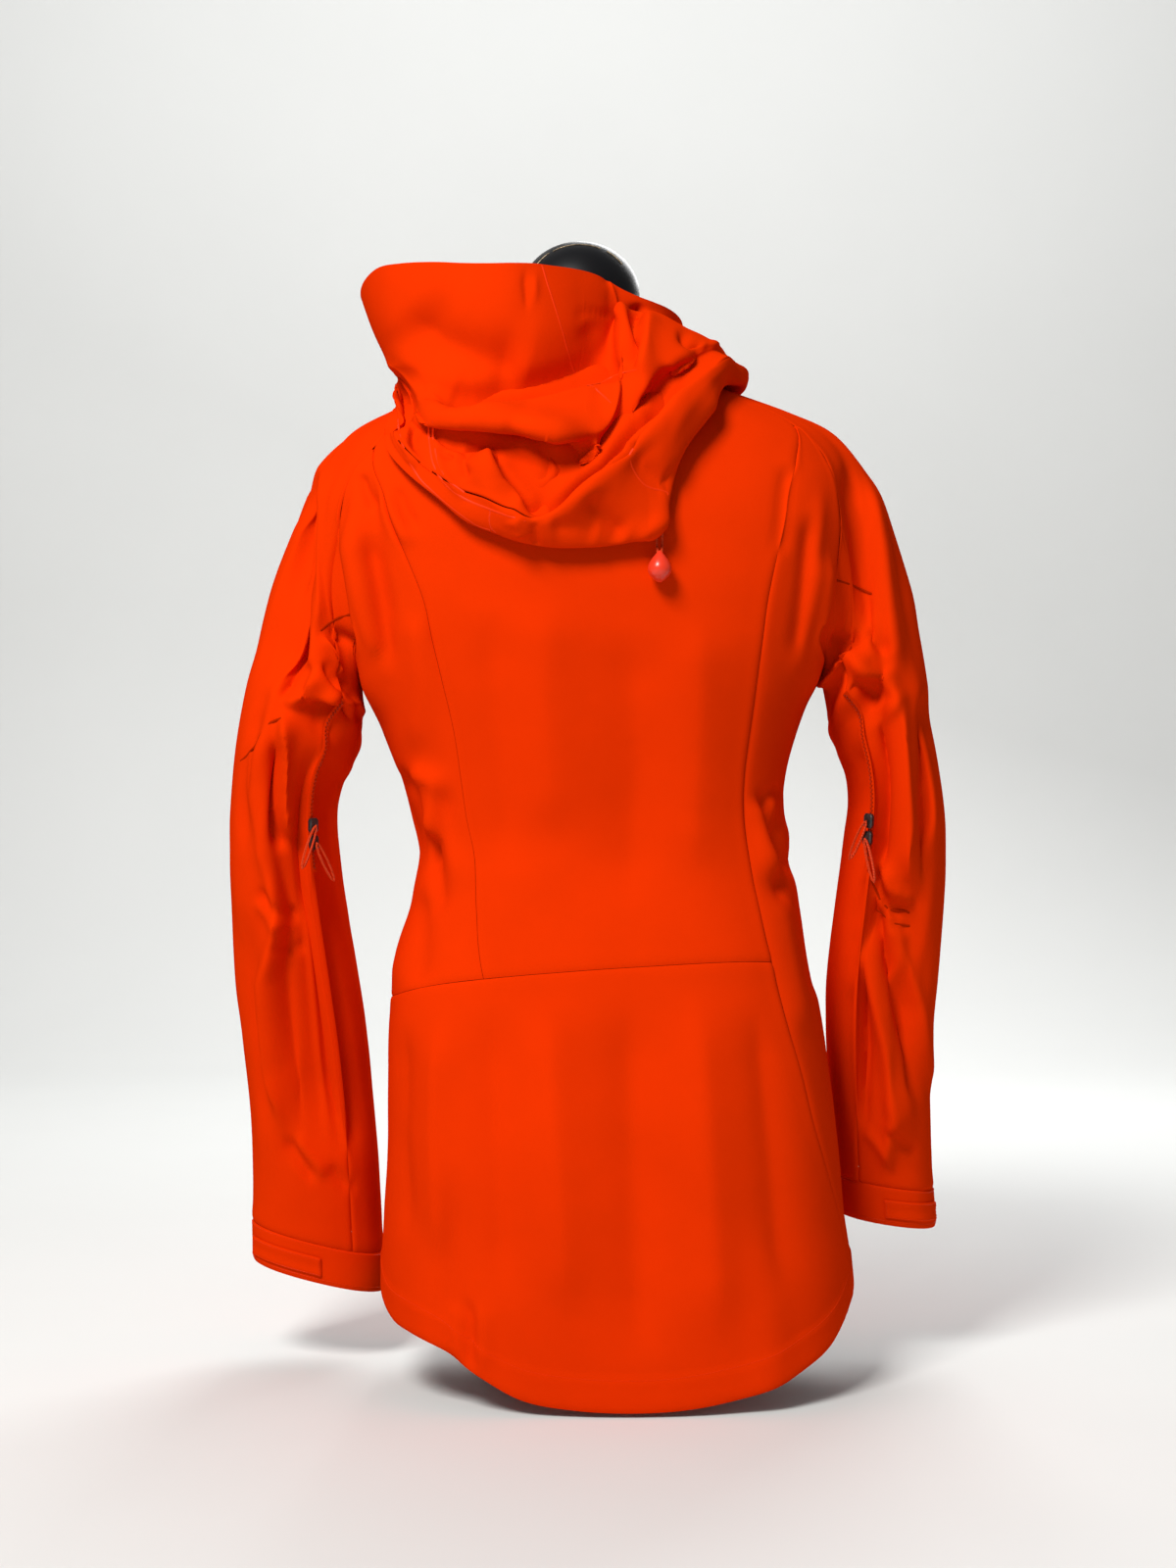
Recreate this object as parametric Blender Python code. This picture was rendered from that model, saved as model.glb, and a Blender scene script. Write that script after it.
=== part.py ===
"""Hooded shell jacket, worn empty, on a limbless dress form that stands on a round base.

Metres, +Z up.  The back of the garment faces -Y, the wearer's right is +X, and the origin is on the
base's underside.  The body is one smooth surface, cut into panels along its seams;
the sleeves are lofted from the armholes, and the fallen hood is lofted through its fold lines.
"""
import math

import bmesh
import bpy
import numpy as np

# ------------------------------------------------------------------ driving sizes
WALL = 0.0014            # cloth, with its seam tape and facing
SEAM = 0.0003            # gap between two sewn edges
SLEEVE_SEAM = 0.00045    # the same round an armhole
NECK_SEAM = 0.0009       # the same where a sleeve meets the collar
FORM_GAP = 0.0095        # form to cloth, where the cloth hangs free
SEAT_GAP = 0.0016        # form to cloth, over the shoulder blades, where the cloth rests
SQUARENESS = 0.045       # third harmonic that squares off a body section
NECK = (-0.008, 0.045)   # axis of the neck
GROUND = 0.0172          # level of the surface under the base, in the heights used below
BASE_CENTRE = (0.020, 0.020)
BASE_RADIUS, BASE_HIGH = 0.100, 0.012
POLE_RADIUS = 0.015
FORM_FLOOR = 0.135       # underside of the form's torso
FORM_HALF = 0.168         # half the form across its shoulders
SEAT_HEIGHT = 0.735
NECK_RADIUS = 0.0470
CAP_LOW, CAP_TOP, CAP_DOME = 0.846, 0.904, 0.042

# A row for each height round the body: where its middle is, how wide, and how deep.
BODY_SECTIONS = (
    # height, middle_x, half_width, widest_y, back_y, front_y
    (0.015, 0.0205, 0.1770, -0.004, -0.1390, 0.128),
    (0.060, 0.0209, 0.1785, -0.004, -0.1385, 0.128),
    (0.101, 0.0205, 0.1810, -0.002, -0.1375, 0.128),
    (0.146, 0.0185, 0.1776, 0.000, -0.1355, 0.127),
    (0.205, 0.0170, 0.1738, 0.002, -0.1310, 0.124),
    (0.250, 0.0142, 0.1712, 0.004, -0.1250, 0.120),
    (0.295, 0.0118, 0.1672, 0.005, -0.1170, 0.114),
    (0.340, 0.0104, 0.1595, 0.006, -0.1070, 0.107),
    (0.385, 0.0120, 0.1505, 0.006, -0.0980, 0.102),
    (0.420, 0.0105, 0.1438, 0.006, -0.0945, 0.101),
    (0.450, 0.0050, 0.1444, 0.006, -0.0950, 0.104),
    (0.480, 0.0020, 0.1492, 0.006, -0.0990, 0.110),
    (0.515, 0.0000, 0.1600, 0.006, -0.1050, 0.118),
    (0.550, 0.0000, 0.1730, 0.006, -0.1110, 0.126),
    (0.590, 0.0000, 0.1880, 0.008, -0.1165, 0.131),
    (0.635, 0.0000, 0.2010, 0.012, -0.1200, 0.129),
    (0.680, 0.0000, 0.2090, 0.017, -0.1180, 0.122),
    (0.715, 0.0000, 0.2060, 0.022, -0.1080, 0.112),
    (0.742, 0.0000, 0.1880, 0.028, -0.0930, 0.101),
    (0.762, -0.0020, 0.1560, 0.034, -0.0750, 0.096),
    (0.780, -0.0050, 0.1180, 0.040, -0.0530, 0.103),
    (0.795, -0.0080, 0.0830, 0.044, -0.0320, 0.112),
    (0.805, -0.0080, 0.0700, 0.045, -0.0260, 0.114),
)

# Seams that run up the body: height, then the angle from centre back on the left and on the right.
PRINCESS_SEAM = (
    (0.320, -27.5, 46.5), (0.345, -30.5, 46.0), (0.394, -35.5, 43.0), (0.450, -37.0, 44.0),
    (0.516, -34.0, 42.5), (0.566, -34.0, 39.0), (0.612, -34.0, 37.0), (0.660, -38.5, 38.0),
    (0.700, -43.0, 40.0), (0.7286, -48.0, 45.5), (0.7484, -46.0, 52.0),
)
SKIRT_SEAM = ((0.010, 84.0), (0.100, 77.0), (0.160, 67.0), (0.200, 58.0), (0.250, 53.0), (0.300, 48.0), (0.345, 46.0))
SIDE_SEAM = ((0.010, -96.0, 97.0), (0.350, -95.0, 96.0), (0.550, -90.0, 90.0))
RAGLAN_BACK = (
    (0.550, -90.0, 90.0), (0.565, -68.0, 68.0), (0.585, -61.5, 62.0), (0.620, -60.5, 62.5), (0.650, -60.5, 61.0),
    (0.680, -58.0, 58.5), (0.705, -54.0, 56.0), (0.7286, -48.0, 53.5), (0.7484, -46.0, 52.0), (0.765, -47.0, 51.0),
    (0.800, -52.0, 52.0),
)
RAGLAN_FRONT = (
    (0.550, -90.0, 90.0), (0.565, -106.0, 106.0), (0.590, -113.0, 113.0), (0.640, -118.0, 118.0),
    (0.700, -119.0, 119.0), (0.745, -117.0, 117.0), (0.800, -112.0, 112.0),
)
WAIST_SEAM = ((-95.0, 0.309), (-74.0, 0.314), (-44.0, 0.326), (-12.0, 0.336), (5.0, 0.340), (47.0, 0.342),
              (70.0, 0.334), (96.0, 0.326))
# The hem: degrees round from centre back, and height.
HEM_LINE = ((-180.0, 0.096), (-110.0, 0.094), (-80.0, 0.086), (-68.0, 0.076), (-52.0, 0.069), (-40.0, 0.060),
            (-32.0, 0.048), (-26.0, 0.036), (-16.0, 0.026), (-4.0, 0.0215), (12.0, 0.022), (24.0, 0.028),
            (36.0, 0.037), (48.0, 0.050), (58.0, 0.061), (68.0, 0.076), (80.0, 0.088), (110.0, 0.094),
            (180.0, 0.096))
UNDERARM = 0.550
TIP = 0.8                # how far a side panel's point runs up into the meeting of its two seams
SKIRT_ROWS = 7
TRUNK_ROWS = 6
YOKE_STEPS = (0.0, 0.12, 0.24, 0.36, 0.48, 0.58, 0.66, 0.72, 0.80, 0.86, 0.92, 1.0)
LEFT_JOIN, RIGHT_JOIN = 7, 8         # yoke rows where the princess seams meet the armholes

# Folds of the body: a soft ridge (+) or trough (-) along a line from one place to another.  Each
# place is metres round from centre back, then height.
BODY_FOLDS = (
    # from across, high, to across, high, half width, height
    (-0.190, 0.690, -0.168, 0.560, 0.0110, 0.0038),
    (-0.166, 0.700, -0.150, 0.585, 0.0110, -0.0030),
    (-0.150, 0.480, -0.105, 0.400, 0.0120, 0.0045),
    (-0.158, 0.440, -0.128, 0.380, 0.0110, -0.0050),
    (0.160, 0.470, 0.118, 0.405, 0.0120, 0.0040),
    (0.165, 0.430, 0.140, 0.385, 0.0110, -0.0040),
    (-0.120, 0.020, -0.112, 0.180, 0.0140, -0.0035),
    (0.105, 0.015, 0.100, 0.150, 0.0180, 0.0030),
    (0.168, 0.560, 0.180, 0.690, 0.0110, 0.0030),
)

# Sleeve sections: the outer point's height and reach, the inner point's, the middle's Y, half depth.
SLEEVE_SECTIONS = {
    "left": (
        (0.6280, 0.2500, 0.5170, 0.1790, 0.018, 0.066),
        (0.5670, 0.2645, 0.4900, 0.1850, 0.020, 0.066),
        (0.5060, 0.2760, 0.4640, 0.1960, 0.023, 0.066),
        (0.4440, 0.2819, 0.4260, 0.1965, 0.027, 0.065),
        (0.3830, 0.2815, 0.3740, 0.1900, 0.033, 0.063),
        (0.3215, 0.2799, 0.3150, 0.1810, 0.041, 0.059),
        (0.2595, 0.2738, 0.2530, 0.1740, 0.050, 0.054),
        (0.1930, 0.2691, 0.1800, 0.1690, 0.059, 0.049),
        (0.1280, 0.2694, 0.1020, 0.1655, 0.067, 0.045),
    ),
    "right": (
        (0.6280, 0.2500, 0.5240, 0.1870, 0.018, 0.066),
        (0.5670, 0.2610, 0.5020, 0.1930, 0.020, 0.066),
        (0.5060, 0.2705, 0.4700, 0.2020, 0.023, 0.066),
        (0.4440, 0.2784, 0.4300, 0.1990, 0.029, 0.065),
        (0.3850, 0.2786, 0.3780, 0.1930, 0.037, 0.063),
        (0.3280, 0.2757, 0.3220, 0.1880, 0.047, 0.060),
        (0.2700, 0.2713, 0.2640, 0.1890, 0.058, 0.057),
        (0.2100, 0.2722, 0.2120, 0.1930, 0.068, 0.054),
        (0.1520, 0.2754, 0.1640, 0.1960, 0.077, 0.051),
    ),
}
# The top of the shoulder, from the neck out to the first section: x to the side, y, height.
SHOULDER_LINE = (
    (0.1120, 0.040, 0.7815), (0.1470, 0.036, 0.7690), (0.1810, 0.032, 0.7560), (0.2080, 0.028, 0.7385),
    (0.2260, 0.024, 0.7090), (0.2395, 0.020, 0.6690),
)
SHOULDER_HOLD = (0.9, 0.6, 0.3, 0.1, 0.0, 0.0)   # how closely each of those rows lies on the body
SHOULDER_EASE = 3        # how often the shoulder is smoothed
SLEEVE_TURN = 26         # columns round a sleeve
SHOULDER_ROWS = 7        # rows from the armhole to the first section
SLEEVE_ROWS = 14         # rows from the first section to the cuff
SHOULDER_LEAVE, SHOULDER_ARRIVE = 1.55, 1.40   # fullness of the shoulder where it leaves and arrives
UNDER_FROM, UNDER_TO = 9, 17         # columns of the strip under the arm; the pit zip runs along its back edge
CUFF_HIGH = 0.031
CUFF_STANDS_OUT = 0.0010
PIT_ZIP_LIFT = 0.0024    # face of the pit zip over the cloth
PIT_PULL_LONG, PIT_PULL_HALF, PIT_PULL_LEAN = 0.034, 0.0024, 0.42

# Folds of a sleeve: along is 0 at the armhole and 1 at the cuff seam; round is 0 at the outer edge, 0.25 in
# front, 0.5 inside and 0.75 behind.
SLEEVE_FOLDS = {
    "left": (
        # from along, round, to along, round, half width, height
        (0.16, 0.885, 0.44, 0.860, 0.0130, -0.0105),
        (0.30, 0.780, 0.36, 0.560, 0.0120, 0.0085),
        (0.35, 0.790, 0.41, 0.600, 0.0100, -0.0080),
        (0.42, 0.800, 0.62, 0.770, 0.0090, 0.0060),
        (0.44, 0.860, 0.60, 0.830, 0.0090, -0.0060),
        (0.63, 0.760, 0.66, 0.900, 0.0100, 0.0045),
        (0.70, 0.860, 0.93, 0.820, 0.0130, -0.0060),
        (0.86, 0.760, 0.93, 0.900, 0.0100, 0.0045),
        (0.20, 0.120, 0.42, 0.150, 0.0140, -0.0070),
        (0.33, 0.260, 0.38, 0.440, 0.0120, 0.0060),
        (0.64, 0.180, 0.68, 0.330, 0.0120, -0.0050),
    ),
    "right": (
        (0.18, 0.890, 0.40, 0.870, 0.0130, -0.0060),
        (0.30, 0.770, 0.36, 0.560, 0.0120, 0.0085),
        (0.34, 0.800, 0.42, 0.620, 0.0100, -0.0085),
        (0.42, 0.830, 0.60, 0.850, 0.0100, 0.0050),
        (0.60, 0.780, 0.66, 0.880, 0.0090, 0.0055),
        (0.64, 0.780, 0.82, 0.840, 0.0120, -0.0070),
        (0.80, 0.840, 0.93, 0.780, 0.0110, 0.0050),
        (0.20, 0.120, 0.42, 0.150, 0.0140, -0.0070),
        (0.33, 0.260, 0.38, 0.440, 0.0120, 0.0060),
        (0.64, 0.180, 0.68, 0.330, 0.0120, -0.0050),
    ),
}

# The fallen hood: a section at each angle round the neck from centre back.  Each fold line has a reach from
# the neck's axis and a height, in millimetres; the last column is the height of the bag's bottom.
HOOD_LINES = 8           # brim, band, crease, ridge, tuck, bulge, slot, lip
HOOD_SECTIONS = (
    # angle   brim        band        crease      ridge       tuck        bulge       slot        lip       bottom
    (-162, (80, 828), (79, 821), (78, 814), (78, 808), (77, 802), (77, 796), (76, 790), (76, 784), 766),
    (-140, (104, 842), (104, 832), (104, 823), (104, 815), (104, 808), (104, 802), (104, 797), (104, 792), 770),
    (-110, (150, 850), (144, 834), (140, 822), (137, 814), (135, 808), (134, 803), (133, 798), (133, 793), 774),
    (-80, (173, 853), (164, 829), (155, 811), (152, 805), (150, 801), (149, 797), (148, 793), (148, 789), 772),
    (-58, (180, 865), (174, 825), (164, 795), (168, 785), (166, 779), (167, 774), (167, 770), (167, 766), 748),
    (-42, (172, 863), (172, 815), (162, 775), (181, 757), (173, 749), (181, 741), (184, 733), (187, 725), 706),
    (-28, (157, 860), (167, 812), (151, 761), (187, 741), (170, 732), (186, 719), (190, 705), (192, 691), 668),
    (-20, (144, 861), (158, 812), (142, 763), (187, 735), (166, 726), (186, 711), (193, 696), (195, 681), 656),
    (-15, (133, 862), (150, 812), (136, 765), (186, 730), (160, 721), (170, 703), (178, 685), (196, 671), 650),
    (-10, (122, 862), (141, 813), (130, 769), (190, 728), (158, 720), (164, 702), (150, 682), (197, 666), 646),
    (2, (100, 862), (114, 825), (114, 783), (180, 731), (160, 722), (168, 713), (140, 701), (199, 693), 643),
    (10, (90, 860), (98, 838), (102, 795), (164, 747), (148, 737), (156, 729), (136, 718), (195, 712), 645),
    (17, (82, 856), (86, 842), (88, 824), (99, 836), (126, 806), (158, 756), (136, 746), (191, 738), 651),
    (26, (78, 850), (81, 838), (85, 826), (98, 838), (120, 818), (152, 782), (130, 772), (181, 765), 676),
    (38, (76, 845), (79, 834), (84, 824), (100, 836), (115, 824), (142, 801), (130, 791), (164, 786), 726),
    (50, (76, 842), (79, 831), (84, 821), (102, 827), (112, 822), (134, 811), (133, 803), (150, 798), 760),
    (60, (76, 840), (79, 829), (84, 820), (99, 824), (108, 819), (124, 811), (127, 804), (141, 796), 774),
    (75, (76, 838), (79, 828), (83, 820), (96, 822), (106, 818), (117, 812), (122, 805), (136, 798), 776),
    (105, (77, 836), (79, 828), (83, 820), (91, 819), (100, 815), (110, 810), (118, 805), (128, 799), 776),
    (135, (82, 832), (83, 825), (85, 818), (88, 812), (91, 807), (94, 802), (98, 797), (102, 792), 770),
    (152, (80, 826), (79, 820), (78, 813), (78, 807), (77, 801), (77, 795), (76, 789), (76, 784), 766),
)
HOOD_ANGLES = (-162, -146, -128, -110, -95, -80, -69, -58, -49, -40, -32, -26, -20, -15, -10, -4, 2, 7, 11, 15, 19,
               24, 31, 39, 49, 61, 76, 94, 114, 134, 152)
HOOD_STEPS = (2, 2, 3, 1, 2, 2, 2, 2, 2, 1, 1, 2, 2, 1, 1)   # rows between one line and the next
LIP_ROW = 14             # row of the seam under the lip
HOOD_WALL = 0.0012
HOOD_CLEAR = 0.006       # the bag's underside to the body
HOOD_LOFT = 0.0055       # the bag's outer side to its underside, at the least
FLANK_BULGE = 0.005
NAPE_CLEAR = 0.0016      # hood to collar, where they are sewn
BAG_FOLD = 0.0070        # across the fold at the bag's bottom
HOOD_SPLIT = 16          # the column of the seam between the hood's left and right sides

COLLAR_STEPS = 3
COLLAR_COLUMNS = 29
COLLAR_TOP = ((0.064, 0.066), (-0.008, 0.052))       # half sizes, centre
COLLAR_TOP_BACK, COLLAR_TOP_FRONT = 0.836, 0.812
ZIP_HALF = 0.0055        # half the front zip's width

# The toggle's strands: part of the way, rise over the toggle, way in under the hood.
STRAND = (
    (0.0, 0.0000, 0.0000),
    (0.1, 0.0010, 0.0003),
    (0.5, 0.0035, 0.0030),
    (0.8, 0.0060, 0.0055),
    (1.0, 0.0170, 0.0058),
)

ORANGE = (0.83, 0.085, 0.006)
ORANGE_TRIM = (0.90, 0.10, 0.02)
RED_GLOSS = (0.80, 0.035, 0.02)
GUNMETAL = (0.06, 0.05, 0.05)
BLACK = (0.010, 0.010, 0.011)
STEEL = (0.50, 0.50, 0.50)


# ------------------------------------------------------------------ curves and surfaces
def smooth(at, xs, ys, level=False):
    """A smooth curve through the points (xs, ys), read at one or many places; level stops it overshooting."""
    xs = np.asarray(xs, float)
    ys = np.asarray(ys, float)
    at = np.clip(np.asarray(at, float), xs[0], xs[-1])
    slope = np.gradient(ys, xs)
    if level:
        steps = np.diff(ys) / np.diff(xs)
        before, after = steps[:-1], steps[1:]
        slope[1:-1] = np.where(before * after > 0, 2 * before * after / (before + after + 1e-12), 0.0)
    i = np.clip(np.searchsorted(xs, at) - 1, 0, len(xs) - 2)
    step = xs[i + 1] - xs[i]
    t = (at - xs[i]) / step
    start = ys[i] * (1 + 2 * t) * (1 - t) ** 2 + slope[i] * step * t * (1 - t) ** 2
    end = ys[i + 1] * t * t * (3 - 2 * t) + slope[i + 1] * step * t * t * (t - 1)
    return start + end


def column(table, index, at):
    return smooth(at, [row[0] for row in table], [row[index] for row in table])


def unit(vectors):
    return vectors / np.maximum(np.linalg.norm(vectors, axis=-1, keepdims=True), 1e-12)


def fold_height(folds, across, along):
    """Sum of the soft ridges and troughs at one place, each fading out at its two ends."""
    total = np.zeros(np.broadcast(across, along).shape)
    for a0, l0, a1, l1, half_width, height in folds:
        run = np.array([a1 - a0, l1 - l0])
        length = np.hypot(*run)
        t = ((across - a0) * run[0] + (along - l0) * run[1]) / length ** 2
        off = ((across - a0) * run[1] - (along - l0) * run[0]) / length
        end = np.clip(np.minimum(t, 1 - t) / 0.3 + 0.35, 0, 1)
        total = total + height * np.exp(-(off / half_width) ** 2) * end * end * (3 - 2 * end)
    return total


def plain_body(angle, height):
    """The body's surface without folds, at an angle from centre back and a height."""
    angle, height = np.broadcast_arrays(np.asarray(angle, float), np.asarray(height, float))
    middle, half, widest, back, front = (column(BODY_SECTIONS, i, height) for i in range(1, 6))
    sideways = (np.sin(angle) + SQUARENESS * np.sin(3 * angle)) / (1 - SQUARENESS)
    behind = (np.cos(angle) - SQUARENESS * np.cos(3 * angle)) / (1 - SQUARENESS)
    x = middle + half * sideways
    y = np.where(behind > 0, widest - (widest - back) * behind, widest - (front - widest) * behind)
    return np.stack([x, y, height], -1)


def body_normal(angle, height):
    e = 1e-4
    round_it = plain_body(angle + e, height) - plain_body(angle - e, height)
    upward = plain_body(angle, height + e) - plain_body(angle, height - e)
    return unit(np.cross(round_it, upward))


def body(angle, height, out=0.0):
    """The cloth's outer surface, with its folds, moved outwards by out."""
    half = column(BODY_SECTIONS, 2, height)
    lift = fold_height(BODY_FOLDS, angle * half, height)
    return plain_body(angle, height) + body_normal(angle, height) * (np.asarray(out + lift)[..., None])


def hem_height(angle):
    return smooth(np.degrees(angle), [a for a, z in HEM_LINE], [z for a, z in HEM_LINE])


def waist_height(angle):
    return smooth(np.degrees(angle), [a for a, z in WAIST_SEAM], [z for a, z in WAIST_SEAM])


def neck_height(angle):
    c = np.cos(angle)
    return np.where(c > 0, 0.800 - 0.003 * c, 0.800 - 0.055 * np.abs(c) ** 1.5)


def row_height(angle, row):
    """Height of a numbered row of the body: hem, waist seam, underarm, neckline."""
    if row <= SKIRT_ROWS:
        low, high, part = hem_height(angle), waist_height(angle), row / SKIRT_ROWS
    elif row <= SKIRT_ROWS + TRUNK_ROWS:
        low, high, part = waist_height(angle), UNDERARM, (row - SKIRT_ROWS) / TRUNK_ROWS
    else:
        low, high, part = UNDERARM, neck_height(angle), YOKE_STEPS[row - SKIRT_ROWS - TRUNK_ROWS]
    return low + (high - low) * part


WAIST_ROW = SKIRT_ROWS
UNDERARM_ROW = SKIRT_ROWS + TRUNK_ROWS
TOP_ROW = UNDERARM_ROW + len(YOKE_STEPS) - 1


def seam_place(seam, row, side):
    """Angle and height where a seam crosses a row.  Side is -1 for the left and 1 for the right."""
    index = 1 if side < 0 or len(seam[0]) == 2 else 2
    angle = math.radians(seam[0][index])
    for _ in range(8):
        height = float(row_height(angle, row))
        angle = math.radians(float(column(seam, index, height)))
    return angle, float(row_height(angle, row))


# ------------------------------------------------------------------ making solids
def material(name, colour, roughness, metallic=0.0):
    made = bpy.data.materials.new(name)
    made.use_nodes = True
    shader = made.node_tree.nodes["Principled BSDF"]
    shader.inputs["Base Color"].default_value = (*colour, 1.0)
    shader.inputs["Roughness"].default_value = roughness
    shader.inputs["Metallic"].default_value = metallic
    return made


def solid(name, points, faces, finish, sharp=50, origin=(0.0, 0.0, GROUND)):
    mesh = bpy.data.meshes.new(name)
    points = np.asarray([tuple(point) for point in points], float) - np.asarray(origin)
    mesh.from_pydata([tuple(map(float, point)) for point in points], [], faces)
    mesh.materials.append(finish)
    work = bmesh.new()
    work.from_mesh(mesh)
    bmesh.ops.recalc_face_normals(work, faces=work.faces[:])
    if work.calc_volume(signed=True) < 0:
        bmesh.ops.reverse_faces(work, faces=work.faces[:])
    work.to_mesh(mesh)
    work.free()
    mesh.shade_smooth()
    mesh.set_sharp_from_angle(angle=math.radians(sharp))
    made = bpy.data.objects.new(name, mesh)
    made.location = (float(origin[0]), float(origin[1]), float(origin[2]) - GROUND)
    bpy.context.collection.objects.link(made)
    return made


def headings(grid, axis, closed=False):
    """The way ahead at each point: the mean of the directions of the two edges that meet there."""
    if closed:
        after = unit(np.roll(grid, -1, axis=axis) - grid)
        return after + np.roll(after, 1, axis=axis)
    steps = unit(np.diff(grid, axis=axis))
    first, last = np.take(steps, [0], axis=axis), np.take(steps, [-1], axis=axis)
    return np.concatenate([first, steps], axis=axis) + np.concatenate([steps, last], axis=axis)


def grid_normals(grid, closed=False):
    return unit(np.cross(headings(grid, 1, closed), headings(grid, 0)))


def wall(name, outer, normals, thick, finish, closed=False):
    """A cloth wall: an outer sheet of points, an inner one under it, and the rim between them."""
    rows, columns = outer.shape[:2]
    inner = outer - normals * thick
    points = list(outer.reshape(-1, 3)) + list(inner.reshape(-1, 3))
    under = rows * columns
    turns = columns if closed else columns - 1
    faces = []
    for r in range(rows - 1):
        for c in range(turns):
            d = (c + 1) % columns
            a, b, e, f = r * columns + c, r * columns + d, (r + 1) * columns + d, (r + 1) * columns + c
            for one, two, three in ((a, b, e), (a, e, f)):
                faces.append((one, two, three))
                faces.append((three + under, two + under, one + under))
    rims = []
    for c in range(turns):
        d = (c + 1) % columns
        rims.append((c, d, True))
        rims.append(((rows - 1) * columns + c, (rows - 1) * columns + d, False))
    if not closed:
        for r in range(rows - 1):
            rims.append((r * columns, (r + 1) * columns, False))
            rims.append(((r + 1) * columns - 1, (r + 2) * columns - 1, True))
    for a, b, turned_over in rims:
        for face in ((a, b, b + under), (a, b + under, a + under)):
            faces.append(face[::-1] if turned_over else face)
    return solid(name, points, faces, finish)


def turned(name, profile, centre, finish, sides=28):
    """A closed turned solid.  The profile is (radius, height) from the bottom centre to the top centre."""
    points = []
    for radius, height in profile:
        for i in range(sides):
            a = 2 * math.pi * i / sides
            points.append((centre[0] + radius * math.cos(a), centre[1] + radius * math.sin(a), height))
    faces = [tuple(reversed(range(sides)))]
    rings = len(profile)
    for r in range(rings - 1):
        for i in range(sides):
            j = (i + 1) % sides
            faces.append((r * sides + i, r * sides + j, (r + 1) * sides + j, (r + 1) * sides + i))
    faces.append(tuple((rings - 1) * sides + i for i in range(sides)))
    return solid(name, points, faces, finish, sharp=35)


def tube(name, path, radius, finish, sides=8):
    """A round solid along a path of points, with flat ends."""
    path = np.asarray(path, float)
    ahead = unit(np.gradient(path, axis=0))
    across = unit(np.cross(ahead, np.array([0.31, 0.17, 0.93])))
    other = np.cross(ahead, across)
    rings = []
    for i in range(sides):
        a = 2 * math.pi * i / sides
        rings.append(path + radius * (math.cos(a) * across + math.sin(a) * other))
    points = np.stack(rings, axis=1).reshape(-1, 3)
    faces = [tuple(range(sides))]
    for r in range(len(path) - 1):
        for i in range(sides):
            j = (i + 1) % sides
            faces.append((r * sides + i, r * sides + j, (r + 1) * sides + j, (r + 1) * sides + i))
    faces.append(tuple((len(path) - 1) * sides + i for i in reversed(range(sides))))
    return solid(name, points, faces, finish)


def block(name, centre, axes, halves, finish, origin=(0.0, 0.0, GROUND)):
    """A small bevelled block on three axes."""
    work = bmesh.new()
    bmesh.ops.create_cube(work, size=2.0)
    bmesh.ops.bevel(work, geom=work.edges[:], offset=0.35, segments=1, affect="EDGES")
    bmesh.ops.triangulate(work, faces=work.faces[:])
    points = []
    for vertex in work.verts:
        x, y, z = vertex.co
        points.append(centre + axes[0] * x * halves[0] + axes[1] * y * halves[1] + axes[2] * z * halves[2])
    faces = [tuple(v.index for v in face.verts) for face in work.faces]
    work.free()
    return solid(name, points, faces, finish, origin=origin)


# ------------------------------------------------------------------ the body's panels
def body_panel(name, first_row, last_row, left, right, columns, finish):
    """A panel between two seams, each given as its table and its side."""
    grid, normals = [], []
    for row in range(first_row, last_row + 1):
        ends = [seam_place(seam, row, side)[0] for seam, side in (left, right)]
        angles = np.linspace(ends[0], ends[1], columns + 1)
        heights = np.array([float(row_height(a, row)) for a in angles])
        if row == first_row and row == WAIST_ROW:
            heights = heights + SEAM
        grid.append(body(angles, heights))
        normals.append(body_normal(angles, heights))
    return wall(name, np.array(grid), np.array(normals), WALL, finish)


def build_body(cloth):
    joins = {-1: UNDERARM_ROW + LEFT_JOIN, 1: UNDERARM_ROW + RIGHT_JOIN}
    centre_edges = {}
    for side in (-1, 1):
        edge = []
        for row in range(WAIST_ROW, TOP_ROW + 1):
            seam = PRINCESS_SEAM if row <= joins[side] else RAGLAN_BACK
            edge.append(seam_place(seam, row, side))
        centre_edges[side] = edge
    grid, normals = [], []
    for step, row in enumerate(range(WAIST_ROW, TOP_ROW + 1)):
        left, right = centre_edges[-1][step][0], centre_edges[1][step][0]
        angles = np.linspace(left, right, 13)
        heights = np.array([float(row_height(a, row)) for a in angles])
        if row == WAIST_ROW:
            heights = heights + SEAM
        grid.append(body(angles, heights))
        normals.append(body_normal(angles, heights))
    wall("back_centre", np.array(grid), np.array(normals), WALL, cloth)

    body_panel("back_lower", 0, WAIST_ROW, (SIDE_SEAM, -1), (SKIRT_SEAM, 1), 16, cloth)
    side_back("back_side_left", -1, WAIST_ROW, joins[-1], cloth)
    side_back("back_side_right", 1, 0, joins[1], cloth)
    for name, side in (("front_left", -1), ("front_right", 1)):
        front_panel(name, side, cloth)


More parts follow.
